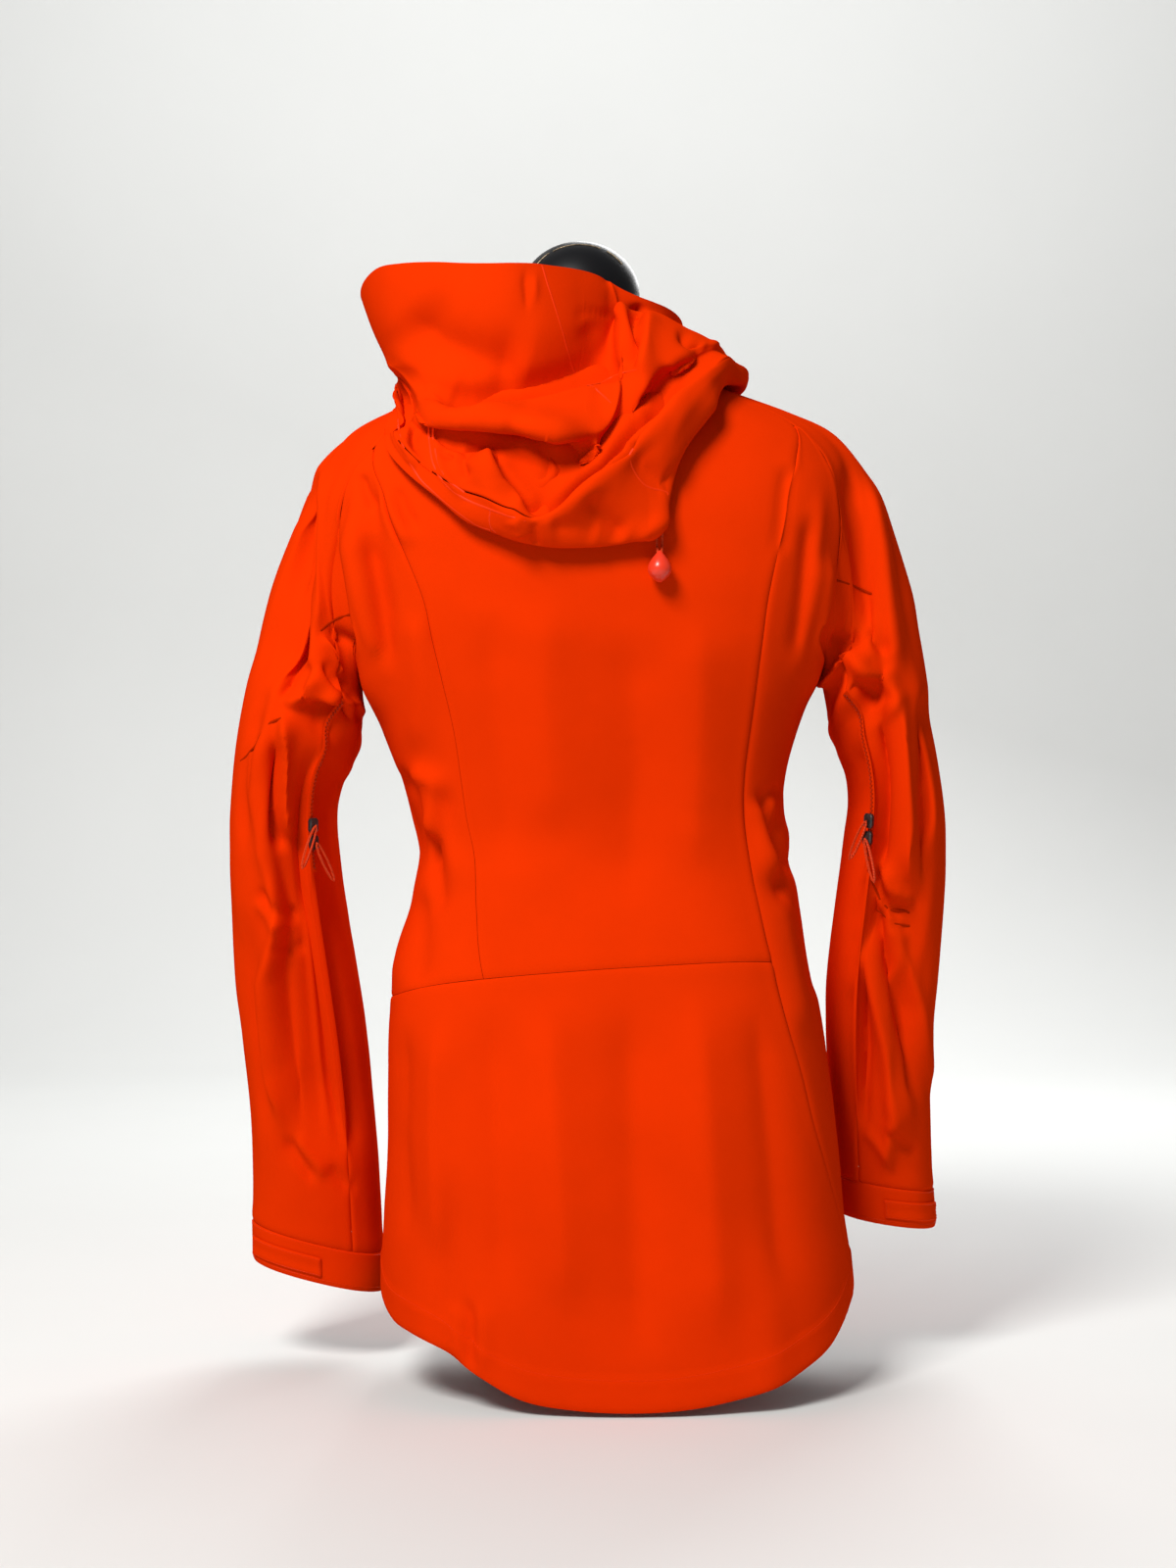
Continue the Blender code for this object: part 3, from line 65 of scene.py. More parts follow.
# A row for each height round the body: where its middle is, how wide, and how deep.
BODY_SECTIONS = (
    # height, middle_x, half_width, widest_y, back_y, front_y
    (0.015, 0.0205, 0.1770, -0.004, -0.1390, 0.128),
    (0.060, 0.0209, 0.1785, -0.004, -0.1385, 0.128),
    (0.101, 0.0205, 0.1810, -0.002, -0.1375, 0.128),
    (0.146, 0.0185, 0.1776, 0.000, -0.1355, 0.127),
    (0.205, 0.0170, 0.1738, 0.002, -0.1310, 0.124),
    (0.250, 0.0142, 0.1712, 0.004, -0.1250, 0.120),
    (0.295, 0.0118, 0.1672, 0.005, -0.1170, 0.114),
    (0.340, 0.0104, 0.1595, 0.006, -0.1070, 0.107),
    (0.385, 0.0120, 0.1505, 0.006, -0.0980, 0.102),
    (0.420, 0.0105, 0.1438, 0.006, -0.0945, 0.101),
    (0.450, 0.0050, 0.1444, 0.006, -0.0950, 0.104),
    (0.480, 0.0020, 0.1492, 0.006, -0.0990, 0.110),
    (0.515, 0.0000, 0.1600, 0.006, -0.1050, 0.118),
    (0.550, 0.0000, 0.1730, 0.006, -0.1110, 0.126),
    (0.590, 0.0000, 0.1880, 0.008, -0.1165, 0.131),
    (0.635, 0.0000, 0.2010, 0.012, -0.1200, 0.129),
    (0.680, 0.0000, 0.2090, 0.017, -0.1180, 0.122),
    (0.715, 0.0000, 0.2060, 0.022, -0.1080, 0.112),
    (0.742, 0.0000, 0.1880, 0.028, -0.0930, 0.101),
    (0.762, -0.0020, 0.1560, 0.034, -0.0750, 0.096),
    (0.780, -0.0050, 0.1180, 0.040, -0.0530, 0.103),
    (0.795, -0.0080, 0.0830, 0.044, -0.0320, 0.112),
    (0.805, -0.0080, 0.0700, 0.045, -0.0260, 0.114),
)
# Seams that run up the body: height, then the angle from centre back on the left and on the right.
PRINCESS_SEAM = (
    (0.320, -27.5, 46.5), (0.345, -30.5, 46.0), (0.394, -35.5, 43.0), (0.450, -37.0, 44.0),
    (0.516, -34.0, 42.5), (0.566, -34.0, 39.0), (0.612, -34.0, 37.0), (0.660, -38.5, 38.0),
    (0.700, -43.0, 40.0), (0.7286, -48.0, 45.5), (0.7484, -46.0, 52.0),
)
SKIRT_SEAM = ((0.010, 84.0), (0.100, 77.0), (0.160, 67.0), (0.200, 58.0), (0.250, 53.0), (0.300, 48.0),
              (0.345, 46.0))
SIDE_SEAM = ((0.010, -96.0, 97.0), (0.350, -95.0, 96.0), (0.550, -90.0, 90.0))
RAGLAN_BACK = (
    (0.550, -90.0, 90.0), (0.565, -68.0, 68.0), (0.585, -61.5, 62.0), (0.620, -60.5, 62.5),
    (0.650, -60.5, 61.0), (0.680, -58.0, 58.5), (0.705, -54.0, 56.0), (0.7286, -48.0, 53.5),
    (0.7484, -46.0, 52.0), (0.765, -47.0, 51.0), (0.800, -52.0, 52.0),
)
RAGLAN_FRONT = (
    (0.550, -90.0, 90.0), (0.565, -106.0, 106.0), (0.590, -113.0, 113.0), (0.640, -118.0, 118.0),
    (0.700, -119.0, 119.0), (0.745, -117.0, 117.0), (0.800, -112.0, 112.0),
)
# The seam round the waist: degrees round from centre back, and height.
WAIST_SEAM = ((-95.0, 0.309), (-74.0, 0.314), (-44.0, 0.326), (-12.0, 0.336), (5.0, 0.340), (47.0, 0.342),
              (70.0, 0.334), (96.0, 0.326))
# The hem: degrees round from centre back, and height.
HEM_LINE = ((-180.0, 0.096), (-110.0, 0.094), (-80.0, 0.086), (-68.0, 0.076), (-52.0, 0.069), (-40.0, 0.060),
            (-32.0, 0.048), (-26.0, 0.036), (-16.0, 0.026), (-4.0, 0.0215), (12.0, 0.022), (24.0, 0.028),
            (36.0, 0.037), (48.0, 0.050), (58.0, 0.061), (68.0, 0.076), (80.0, 0.088), (110.0, 0.094),
            (180.0, 0.096))
UNDERARM = 0.550         # height of the underarm
FRONT_HALF = 0.15        # of the body at its sides, that turns a seam's gap there into an angle
TIP = 0.8                # how far a side panel's point runs up into the meeting of its two seams
SKIRT_ROWS = 7           # rows from the hem to the waist seam
TRUNK_ROWS = 6           # rows from there to the underarm
# Rows from the underarm to the neckline, as shares of the way.
YOKE_STEPS = (0.0, 0.12, 0.24, 0.36, 0.48, 0.58, 0.66, 0.72, 0.80, 0.86, 0.92, 1.0)
FOLD_FADE, FOLD_START = 0.3, 0.35    # a fold's fade at its ends: over a share of it, from a share
# Folds of the body: a soft ridge (+) or trough (-) along a line from one place to another.  Each
# place is metres round from centre back, then height.
BODY_FOLDS = (
    # from across, high, to across, high, half width, height
    (-0.190, 0.690, -0.168, 0.560, 0.0110, 0.0038),
    (-0.166, 0.700, -0.150, 0.585, 0.0110, -0.0030),
    (-0.150, 0.480, -0.105, 0.400, 0.0120, 0.0045),
    (-0.158, 0.440, -0.128, 0.380, 0.0110, -0.0050),
    (0.160, 0.470, 0.118, 0.405, 0.0120, 0.0040),
    (0.165, 0.430, 0.140, 0.385, 0.0110, -0.0040),
    (-0.120, 0.020, -0.112, 0.180, 0.0140, -0.0035),
    (0.105, 0.015, 0.100, 0.150, 0.0180, 0.0030),
    (0.168, 0.560, 0.180, 0.690, 0.0110, 0.0030),
)
# Sleeve sections: the outer point's height and reach, the inner point's, the middle's Y, half depth.
SLEEVE_SECTIONS = {
    "left": (
        (0.6280, 0.2500, 0.5170, 0.1790, 0.018, 0.066),
        (0.5670, 0.2645, 0.4900, 0.1850, 0.020, 0.066),
        (0.5060, 0.2760, 0.4640, 0.1960, 0.023, 0.066),
        (0.4440, 0.2819, 0.4260, 0.1965, 0.027, 0.065),
        (0.3830, 0.2815, 0.3740, 0.1900, 0.033, 0.063),
        (0.3215, 0.2799, 0.3150, 0.1810, 0.041, 0.059),
        (0.2595, 0.2738, 0.2530, 0.1740, 0.050, 0.054),
        (0.1930, 0.2691, 0.1800, 0.1690, 0.059, 0.049),
        (0.1280, 0.2694, 0.1020, 0.1655, 0.067, 0.045),
    ),
    "right": (
        (0.6280, 0.2500, 0.5240, 0.1870, 0.018, 0.066),
        (0.5670, 0.2610, 0.5020, 0.1930, 0.020, 0.066),
        (0.5060, 0.2705, 0.4700, 0.2020, 0.023, 0.066),
        (0.4440, 0.2784, 0.4300, 0.1990, 0.029, 0.065),
        (0.3850, 0.2786, 0.3780, 0.1930, 0.037, 0.063),
        (0.3280, 0.2757, 0.3220, 0.1880, 0.047, 0.060),
        (0.2700, 0.2713, 0.2640, 0.1890, 0.058, 0.057),
        (0.2100, 0.2722, 0.2120, 0.1930, 0.068, 0.054),
        (0.1520, 0.2754, 0.1640, 0.1960, 0.077, 0.051),
    ),
}
# The top of the shoulder, from the neck out to the first section: x to the side, y, height.
SHOULDER_LINE = (
    (0.1120, 0.040, 0.7815), (0.1470, 0.036, 0.7690), (0.1810, 0.032, 0.7560), (0.2080, 0.028, 0.7385),
    (0.2260, 0.024, 0.7090), (0.2395, 0.020, 0.6690),
)
SHOULDER_HOLD = (0.9, 0.6, 0.3, 0.1, 0.0, 0.0)   # how closely each of those rows lies on the body
SHOULDER_EASE = 3        # how often the shoulder is smoothed
SHOULDER_PLACES = (np.radians(np.arange(30, 151, 2.0)), np.linspace(0.54, 0.805, 107))   # angles and heights
SLEEVE_TURN = 26         # columns round a sleeve
SLEEVE_PHASE = 2 * math.pi * np.arange(SLEEVE_TURN) / SLEEVE_TURN
SLEEVE_SWELL = 0.05      # of a section between its corners
SLEEVE_LONG, SLEEVE_ROUND = 0.62, 0.34   # the size that a sleeve's folds are measured in
ARMHOLE_EASE, CUFF_EASE = 0.10, 0.06     # shares of the sleeve over which its folds ease off
NEXT_PART = 0.04         # the place past a sleeve's first section that gives the way ahead there
SHOULDER_ROWS = 7        # rows from the armhole to the first section
SLEEVE_ROWS = 14         # rows from the first section to the cuff
SHOULDER_LEAVE, SHOULDER_ARRIVE = 1.55, 1.40   # fullness of the shoulder where it leaves and arrives
UNDER_LEAVE, UNDER_ARRIVE = 0.6, 0.9           # the same under the arm
LEAVE_ACROSS = 0.9       # how far the shoulder leaves across its seam
UNDER_FROM, UNDER_TO = 9, 17     # columns of the strip under the arm; the zip runs along its back edge
CUFF_HIGH = 0.031
CUFF_STANDS_OUT = 0.0010
CUFF_PARTS = (0.0, 0.3, 1.0)     # rows of the cuff, as shares of its height
CUFF_STEPS = (6, 9)      # fine rows and columns to each of the cuff's
TAB_COLUMNS = range(19, 25)      # of the sleeve, under the cuff's tab
TAB_SHARE = 0.72         # of the cuff's height that its tab covers
PIT_ZIP_ROWS = 7         # rows of the sleeve beside the zip, from the first section
PIT_ZIP_WALL = 0.0010
PIT_ZIP_LIFT = 0.0024    # face of the pit zip over the cloth
# Folds of a sleeve: along is 0 at the armhole and 1 at the cuff seam; round is 0 at the outer edge, 0.25 in
# front, 0.5 inside and 0.75 behind.
SLEEVE_FOLDS = {
    "left": (
        # from along, round, to along, round, half width, height
        (0.16, 0.885, 0.44, 0.860, 0.0130, -0.0105),
        (0.30, 0.780, 0.36, 0.560, 0.0120, 0.0085),
        (0.35, 0.790, 0.41, 0.600, 0.0100, -0.0080),
        (0.42, 0.800, 0.62, 0.770, 0.0090, 0.0060),
        (0.44, 0.860, 0.60, 0.830, 0.0090, -0.0060),
        (0.63, 0.760, 0.66, 0.900, 0.0100, 0.0045),
        (0.70, 0.860, 0.93, 0.820, 0.0130, -0.0060),
        (0.86, 0.760, 0.93, 0.900, 0.0100, 0.0045),
    ),
    "right": (
        (0.18, 0.890, 0.40, 0.870, 0.0130, -0.0060),
        (0.30, 0.770, 0.36, 0.560, 0.0120, 0.0085),
        (0.34, 0.800, 0.42, 0.620, 0.0100, -0.0085),
        (0.42, 0.830, 0.60, 0.850, 0.0100, 0.0050),
        (0.60, 0.780, 0.66, 0.880, 0.0090, 0.0055),
        (0.64, 0.780, 0.82, 0.840, 0.0120, -0.0070),
        (0.80, 0.840, 0.93, 0.780, 0.0110, 0.0050),
    ),
}
# Folds on the front of both sleeves.
FRONT_FOLDS = (
    (0.20, 0.120, 0.42, 0.150, 0.0140, -0.0070),
    (0.33, 0.260, 0.38, 0.440, 0.0120, 0.0060),
    (0.64, 0.180, 0.68, 0.330, 0.0120, -0.0050),
)
# The fallen hood: a section at each angle round the neck from centre back.  Each fold line has a reach from
# the neck's axis and a height, in millimetres; the last column is the height of the bag's bottom.
HOOD_LINES = 8           # brim, band, crease, ridge, tuck, bulge, slot, lip
HOOD_SECTIONS = (
    # angle, brim,    band,     crease,    ridge,     tuck,      bulge,     slot,      lip,       bottom
    (-162,  80, 828,   79, 821,   78, 814,   78, 808,   77, 802,   77, 796,   76, 790,   76, 784,  766),
    (-140, 104, 842,  104, 832,  104, 823,  104, 815,  104, 808,  104, 802,  104, 797,  104, 792,  770),
    (-110, 150, 850,  144, 834,  140, 822,  137, 814,  135, 808,  134, 803,  133, 798,  133, 793,  774),
    ( -80, 173, 853,  164, 829,  155, 811,  152, 805,  150, 801,  149, 797,  148, 793,  148, 789,  772),
    ( -58, 180, 865,  174, 825,  164, 795,  168, 785,  166, 779,  167, 774,  167, 770,  167, 766,  748),
    ( -42, 172, 863,  172, 815,  162, 775,  181, 757,  173, 749,  181, 741,  184, 733,  187, 725,  706),
    ( -28, 157, 860,  167, 812,  151, 761,  187, 741,  170, 732,  186, 719,  190, 705,  192, 691,  668),
    ( -20, 144, 861,  158, 812,  142, 763,  187, 735,  166, 726,  186, 711,  193, 696,  195, 681,  656),
    ( -15, 133, 862,  150, 812,  136, 765,  186, 730,  160, 721,  170, 703,  178, 685,  196, 671,  650),
    ( -10, 122, 862,  141, 813,  130, 769,  190, 728,  158, 720,  164, 702,  150, 682,  197, 666,  646),
    (   2, 100, 862,  114, 825,  114, 783,  180, 731,  160, 722,  168, 713,  140, 701,  199, 693,  643),
    (  10,  90, 860,   98, 838,  102, 795,  164, 747,  148, 737,  156, 729,  136, 718,  195, 712,  645),
    (  17,  82, 856,   86, 842,   88, 824,   99, 836,  126, 806,  158, 756,  136, 746,  191, 738,  651),
    (  26,  78, 850,   81, 838,   85, 826,   98, 838,  120, 818,  152, 782,  130, 772,  181, 765,  676),
    (  38,  76, 845,   79, 834,   84, 824,  100, 836,  115, 824,  142, 801,  130, 791,  164, 786,  726),
    (  50,  76, 842,   79, 831,   84, 821,  102, 827,  112, 822,  134, 811,  133, 803,  150, 798,  760),
    (  60,  76, 840,   79, 829,   84, 820,   99, 824,  108, 819,  124, 811,  127, 804,  141, 796,  774),
    (  75,  76, 838,   79, 828,   83, 820,   96, 822,  106, 818,  117, 812,  122, 805,  136, 798,  776),
    ( 105,  77, 836,   79, 828,   83, 820,   91, 819,  100, 815,  110, 810,  118, 805,  128, 799,  776),
    ( 135,  82, 832,   83, 825,   85, 818,   88, 812,   91, 807,   94, 802,   98, 797,  102, 792,  770),
    ( 152,  80, 826,   79, 820,   78, 813,   78, 807,   77, 801,   77, 795,   76, 789,   76, 784,  766),
)
HOOD_ANGLES = (-162, -146, -128, -110, -95, -80, -69, -58, -49, -40, -32, -26, -20, -15, -10, -4, 2, 7, 11,
               15, 19, 24, 31, 39, 49, 61, 76, 94, 114, 134, 152)
HOOD_STEPS = (2, 2, 3, 1, 2, 2, 2, 2, 2, 1, 1, 2, 2, 1, 1)   # rows between one line and the next
LIP_ROW = 14             # row of the seam under the lip
HOOD_WALL = 0.0012       # cloth of the hood
BAND_HALF, LEVEL_HALF = 0.02, 0.003      # radians and metres within which the collar's samples count
HOOD_CLEAR = 0.006       # the bag's underside to the body
HOOD_LOFT = 0.0055       # the bag's outer side to its underside, at the least
FLANK_BULGE = 0.005      # of the bag's outer side
FLANK_FULL = 0.04        # height of that side at which it bulges in full
BAG_LEAST = 0.018        # from the lip to the bag's bottom, at the least
NAPE_LOW, NAPE_RISE = 0.16, 0.30     # where the hood is sewn on: part of the collar's height, and its rise
NAPE_PARTS = (0.2, 0.45, 0.7, 0.88)  # points of the underside, as parts of its height
NAPE_CLEAR = 0.0016      # hood to collar, where they are sewn
BAG_FOLD = 0.0070        # across the fold at the bag's bottom
HOOD_SPLIT = 16          # the column of the seam between the hood's left and right sides
COLLAR_STEPS = 3         # rows up the collar
COLLAR_COLUMNS = 29      # points round it
COLLAR_START = 0.02      # where the collar begins above the neckline, as a share of its height
COLLAR_TOP = ((0.064, 0.066), (-0.008, 0.052))       # half sizes, centre
COLLAR_TOP_BACK, COLLAR_TOP_FRONT = 0.836, 0.812
ZIP_HALF = 0.0055        # half the front zip's width
ZIP_BETWEEN = (math.pi - 0.4, math.pi + 0.2)     # angles between which its edges are looked for
# The toggle's strands: part of the way, rise over the toggle, way in under the hood.
STRAND = (
    (0.0, 0.0000, 0.0000),
    (0.1, 0.0010, 0.0003),
    (0.5, 0.0035, 0.0030),
    (0.8, 0.0060, 0.0055),
    (1.0, 0.0170, 0.0058),
)

# ------------------------------------------------------------------ sewing and small pieces
# A panel's rise from its sewn edge inwards.
SEAM_RISE = np.array([-0.00045, 0.00010, 0.00050, 0.00045, 0.00025, 0.00010])
CLOSE_EDGE = 0.35        # the row added beside an edge, as a share of the way to the next
EDGE_POINTS = 3          # points from an edge at which creases reach their depth
HEM_DEEP = 0.024         # from the hem to its stitches
HEM_PAST, HEM_STEP = 0.0015, 0.002   # the fold's edge over the stitches, and the step down from it
HEM_RISE = 0.0010        # the doubled hem's rise over the cloth
CREASE_DEPTH = {"body": 3.0, "sleeve": 2.45, "hood": 2.1}   # of the creases to their tables'
CREASE_FADE, CREASE_START = 0.22, 0.05   # a crease's fade at its ends, in the same way
STITCH_PITCH, STITCH_HALF, STITCH_HIGH = 0.0026, 0.00022, 0.00028
STITCH_ENDS = (0.14, 0.86)           # as shares of the pitch
STITCH_SECTIONS = ((0.0, 0.25), (0.3, 1.0), (0.7, 1.0), (1.0, 0.25))   # share along, share of the height
WELT_HALF, WELT_HIGH = 0.0009, 0.00025
WELT_SECTION = ((-1.0, -0.3), (-0.5, 1.0), (0.5, 1.0), (1.0, -0.3))    # shares: half width, height
WELT_STEP = 3.0          # picture units from point to point
WELT_POINTS = 24         # cloth points looked at for each
WELT_LAYER = 0.006       # depth of those that count as the cloth in view
TOOTH_PITCH, TOOTH_HIGH = 0.0016, 0.0006
# Sections of a tooth: share of the half width across, of the pitch along, and of the height.
TOOTH_SECTIONS = ((-0.25, 0.30, 0.5), (0.15, 0.34, 1.0), (0.85, 0.34, 1.0), (1.0, 0.25, 0.3))
TEETH_SHARE = 0.5        # of its tape's half width that a coil takes up
PIT_ZIP_HALF = 0.0023    # half the width of a zip's tape under the arm
TOGGLE_X, TOGGLE_HEIGHT, TOGGLE_OFF = 0.046, 0.633, 0.010     # to the side, up, and off the back
TOGGLE_LONG, TOGGLE_WIDE = 0.0240, 0.0100
TOGGLE_GROOVE = 0.00035
STRAND_RADIUS = 0.0009
# radius of the painted rim reflection lines on the cap
RIM_REFLECTION_RADIUS = 0.0005

# Small waves: their count along x, y and z to a metre, and phase.
RIPPLES = ((11.0, 7.0, 6.0, 0.4), (7.0, 12.0, 9.0, 2.1), (16.0, 3.0, 11.0, 4.4), (5.0, 17.0, 19.0, 1.3))

# Painted rim reflection on the cap: golden lines that follow its outline as the camera sees it; from, to
# (degrees round its dome), and degrees inside its outline.
RIM_REFLECTION_LINES = ((66, 122, 33), (126, 150, 32), (34, 58, 32))

WEAVE_SCALE = 420.0
CLOTH_COLOUR = (0.66, 0.027, 0.0004)
CORD_COLOUR = (0.62, 0.045, 0.008)
FLOOR_COLOUR = (0.69, 0.70, 0.69)
FLOOR_HALF, COVE_PLACE, COVE_RADIUS, COVE_HIGH = 5.0, 2.8, 0.8, 5.0
WORLD_COLOUR = (0.95, 0.95, 0.96)
WORLD_STRENGTH = 0.24
LENS = 59.22
CAMERA_PLACE = (-0.0015, -2.0, 0.4578)

# Name, place, aim, size, watts, colour.
LIGHTS = (
    ("key", (-0.95, -1.95, 2.35), (0.0, 0.0, 0.50), (0.9, 0.9), 98.0, (1.0, 0.985, 0.96)),
    ("front", (0.6, 2.0, 1.8), (0.0, 0.0, 0.5), (1.4, 1.0), 36.0, (1.0, 1.0, 1.0)),
    ("backdrop", (0.0, 1.5, 2.4), (0.0, 2.8, 0.9), (2.6, 0.5), 22.0, (1.0, 1.0, 1.0)),
)

# Carried-over pieces and their finish.
CARRIED = {"front_slider": "metal", "front_pull": "cord", "form_pole": "steel", "form_base": "gloss"}
for place in ("left_1", "left_2", "right_1", "right_2"):
    CARRIED["pit_slider_" + place] = "metal"
    CARRIED["pit_pull_" + place] = "cord"

# ------------------------------------------------------------------ creases
# Height in mm (a trough is below 0), width on each side of the path in picture units (for a path that runs
# down: left, right; for one that runs right: below, above), and the path itself in picture units.
BODY_CREASES = (
    # beside the left armhole
    (3.2, 9, 10, ((352, 520), (366, 600), (378, 680), (388, 742))),
    (-2.6, 8, 8, ((374, 540), (388, 620), (396, 690))),
    (-2.2, 4, 5, ((402, 497), (410, 518), (424, 542))),
    (1.8, 7, 7, ((392, 500), (402, 530), (418, 560))),
    (-1.8, 5, 6, ((366, 482), (372, 500), (384, 522))),
    (1.4, 10, 14, ((420, 620), (430, 700), (424, 770))),
    # left waist
    (-3.6, 5, 7, ((405, 782), (418, 812), (424, 862), (415, 888))),
    (3.0, 6, 9, ((412, 786), (444, 798), (438, 862))),
    (-1.8, 9, 9, ((452, 800), (448, 850), (436, 900))),
    (2.0, 9, 12, ((398, 900), (404, 950), (400, 1010))),
    (-1.6, 10, 10, ((428, 905), (430, 960), (426, 1010))),
    # right waist
    (-3.2, 5, 5, ((800, 800), (780, 815), (795, 866), (812, 895))),
    (2.4, 8, 6, ((770, 812), (780, 860), (796, 900))),
    (2.4, 8, 8, ((812, 806), (802, 850), (818, 880))),
    (-1.8, 8, 8, ((820, 900), (826, 960), (834, 1020))),
    (1.6, 12, 12, ((790, 900), (806, 980), (822, 1060))),
    # beside the right armhole
    (2.4, 10, 9, ((846, 560), (836, 640), (822, 720))),
    (-2.0, 8, 8, ((828, 520), (822, 600), (812, 680))),
    (-1.6, 7, 7, ((806, 470), (800, 520), (796, 570))),
    # the broad back
    (1.8, 34, 34, ((560, 600), (556, 720), (566, 860))),
    (-1.6, 30, 30, ((500, 620), (506, 760), (520, 900))),
    (-1.8, 34, 34, ((640, 640), (650, 780), (640, 930))),
    (1.8, 30, 30, ((716, 620), (712, 760), (706, 900))),
    # the skirt
    (2.6, 26, 26, ((560, 1010), (566, 1150), (580, 1350))),
    (-2.4, 26, 26, ((500, 1020), (504, 1160), (512, 1340))),
    (-2.6, 28, 28, ((640, 1010), (646, 1180), (654, 1400))),
    (2.4, 26, 26, ((712, 1010), (722, 1170), (736, 1380))),
    (-1.8, 18, 18, ((772, 1020), (786, 1160), (800, 1330))),
    (2.0, 14, 14, ((446, 1040), (444, 1160), (450, 1290))),
    (-1.8, 12, 12, ((412, 1040), (408, 1160), (416, 1270))),
    (-2.2, 4, 5, ((478, 1325), (479, 1360), (480, 1400))),
    (1.2, 9, 9, ((466, 1330), (467, 1390))),
    (1.2, 9, 9, ((492, 1330), (493, 1400))),
)

SLEEVE_CREASES = {
    "left": (
        # the valley behind the outer ridge, from the shoulder to the armpit
        (-12.0, 25, 5, ((322, 478), (319, 540), (313, 610), (304, 668), (295, 712))),
        (3.4, 4, 14, ((329, 470), (327, 530), (323, 590), (318, 650))),
        (2.6, 8, 10, ((306, 505), (294, 580), (282, 650), (272, 712))),
        # star of folds at the armpit
        (3.6, 6, 4, ((326, 650), (337, 662), (347, 692))),
        (-3.4, 4, 6, ((330, 676), (342, 694), (352, 706))),
        (-3.2, 5, 5, ((334, 642), (350, 652), (376, 668))),
        (5.6, 8, 5, ((289, 722), (303, 710), (316, 700), (327, 684))),
        (4.6, 5, 8, ((312, 703), (330, 713), (350, 716))),
        (-5.2, 6, 5, ((318, 712), (345, 726), (366, 734))),
        (3.4, 4, 9, ((352, 716), (372, 728), (390, 736))),
        (-3.0, 8, 4, ((284, 712), (300, 696), (318, 678))),
        # the long ridge down to the sliders and the dark slot beside it
        (7.0, 4, 14, ((290, 720), (287, 770), (288, 822), (295, 862))),
        (-7.0, 6, 4, ((283, 750), (281, 800), (284, 850), (289, 872))),
        (2.4, 8, 8, ((262, 740), (258, 800), (266, 850), (270, 900))),
        # down the forearm
        (6.0, 7, 14, ((268, 860), (283, 935), (272, 1000), (278, 1090), (292, 1168))),
        # the inner face, turned away from the outer one
        (-8.5, 36, 34, ((334, 750), (332, 830), (330, 930), (332, 1040), (342, 1190))),
        (-4.0, 6, 9, ((282, 862), (296, 935), (288, 1000), (294, 1090), (306, 1165))),
        (2.6, 7, 9, ((318, 900), (324, 980), (330, 1080), (340, 1180))),
        (-2.8, 8, 8, ((344, 880), (352, 980), (360, 1080), (366, 1180))),
        (-2.4, 5, 4, ((262, 905), (282, 930), (312, 938))),
        (2.0, 4, 6, ((258, 918), (280, 944), (306, 954))),
        (-2.0, 4, 4, ((276, 965), (296, 972), (318, 968))),
        (-2.6, 4, 5, ((290, 1162), (304, 1182), (322, 1206))),
        (2.0, 5, 5, ((300, 1160), (316, 1180), (334, 1200))),
        (-1.8, 4, 4, ((336, 1190), (352, 1208), (366, 1212))),
    ),
    "right": (
        (-3.4, 9, 9, ((862, 470), (876, 540), (884, 610), (886, 660))),
        (2.8, 9, 9, ((884, 480), (898, 560), (908, 640), (914, 700))),
        (6.0, 7, 8, ((838, 700), (858, 684), (880, 663))),
        (4.6, 5, 7, ((880, 663), (878, 685), (905, 690), (914, 712), (904, 740))),
        (-3.4, 5, 5, ((862, 700), (880, 700), (898, 716))),
        (-3.4, 4, 5, ((884, 640), (896, 656), (906, 668))),
        (-3.0, 5, 5, ((846, 650), (862, 656), (878, 650))),
        # the bright strip and the darker strip outside it
        (5.0, 12, 6, ((918, 700), (924, 780), (928, 850), (930, 910))),
        (-5.0, 7, 8, ((944, 700), (946, 780), (946, 860), (944, 910))),
        (-6.0, 10, 8, ((898, 720), (902, 790), (900, 860), (896, 900))),
        # elbow
        (-4.6, 6, 6, ((884, 882), (896, 912), (908, 928), (932, 934))),
        (2.4, 5, 5, ((894, 880), (908, 908), (934, 920))),
        (-2.2, 4, 4, ((892, 930), (910, 944), (932, 948))),
        (-7.0, 12, 8, ((878, 905), (900, 960), (924, 1030), (938, 1130))),
        (5.0, 8, 12, ((864, 930), (884, 1000), (902, 1070), (912, 1140), (898, 1204))),
        (2.8, 7, 8, ((918, 960), (938, 1030), (950, 1120))),
        (-7.0, 16, 16, ((872, 735), (876, 800), (872, 880), (870, 960), (880, 1060), (888, 1150))),
        (-2.8, 7, 7, ((858, 1000), (872, 1080), (884, 1160))),
        (-2.2, 4, 5, ((904, 1150), (920, 1170), (938, 1176))),
        (1.8, 4, 4, ((880, 1150), (896, 1168), (910, 1190))),
    ),
}

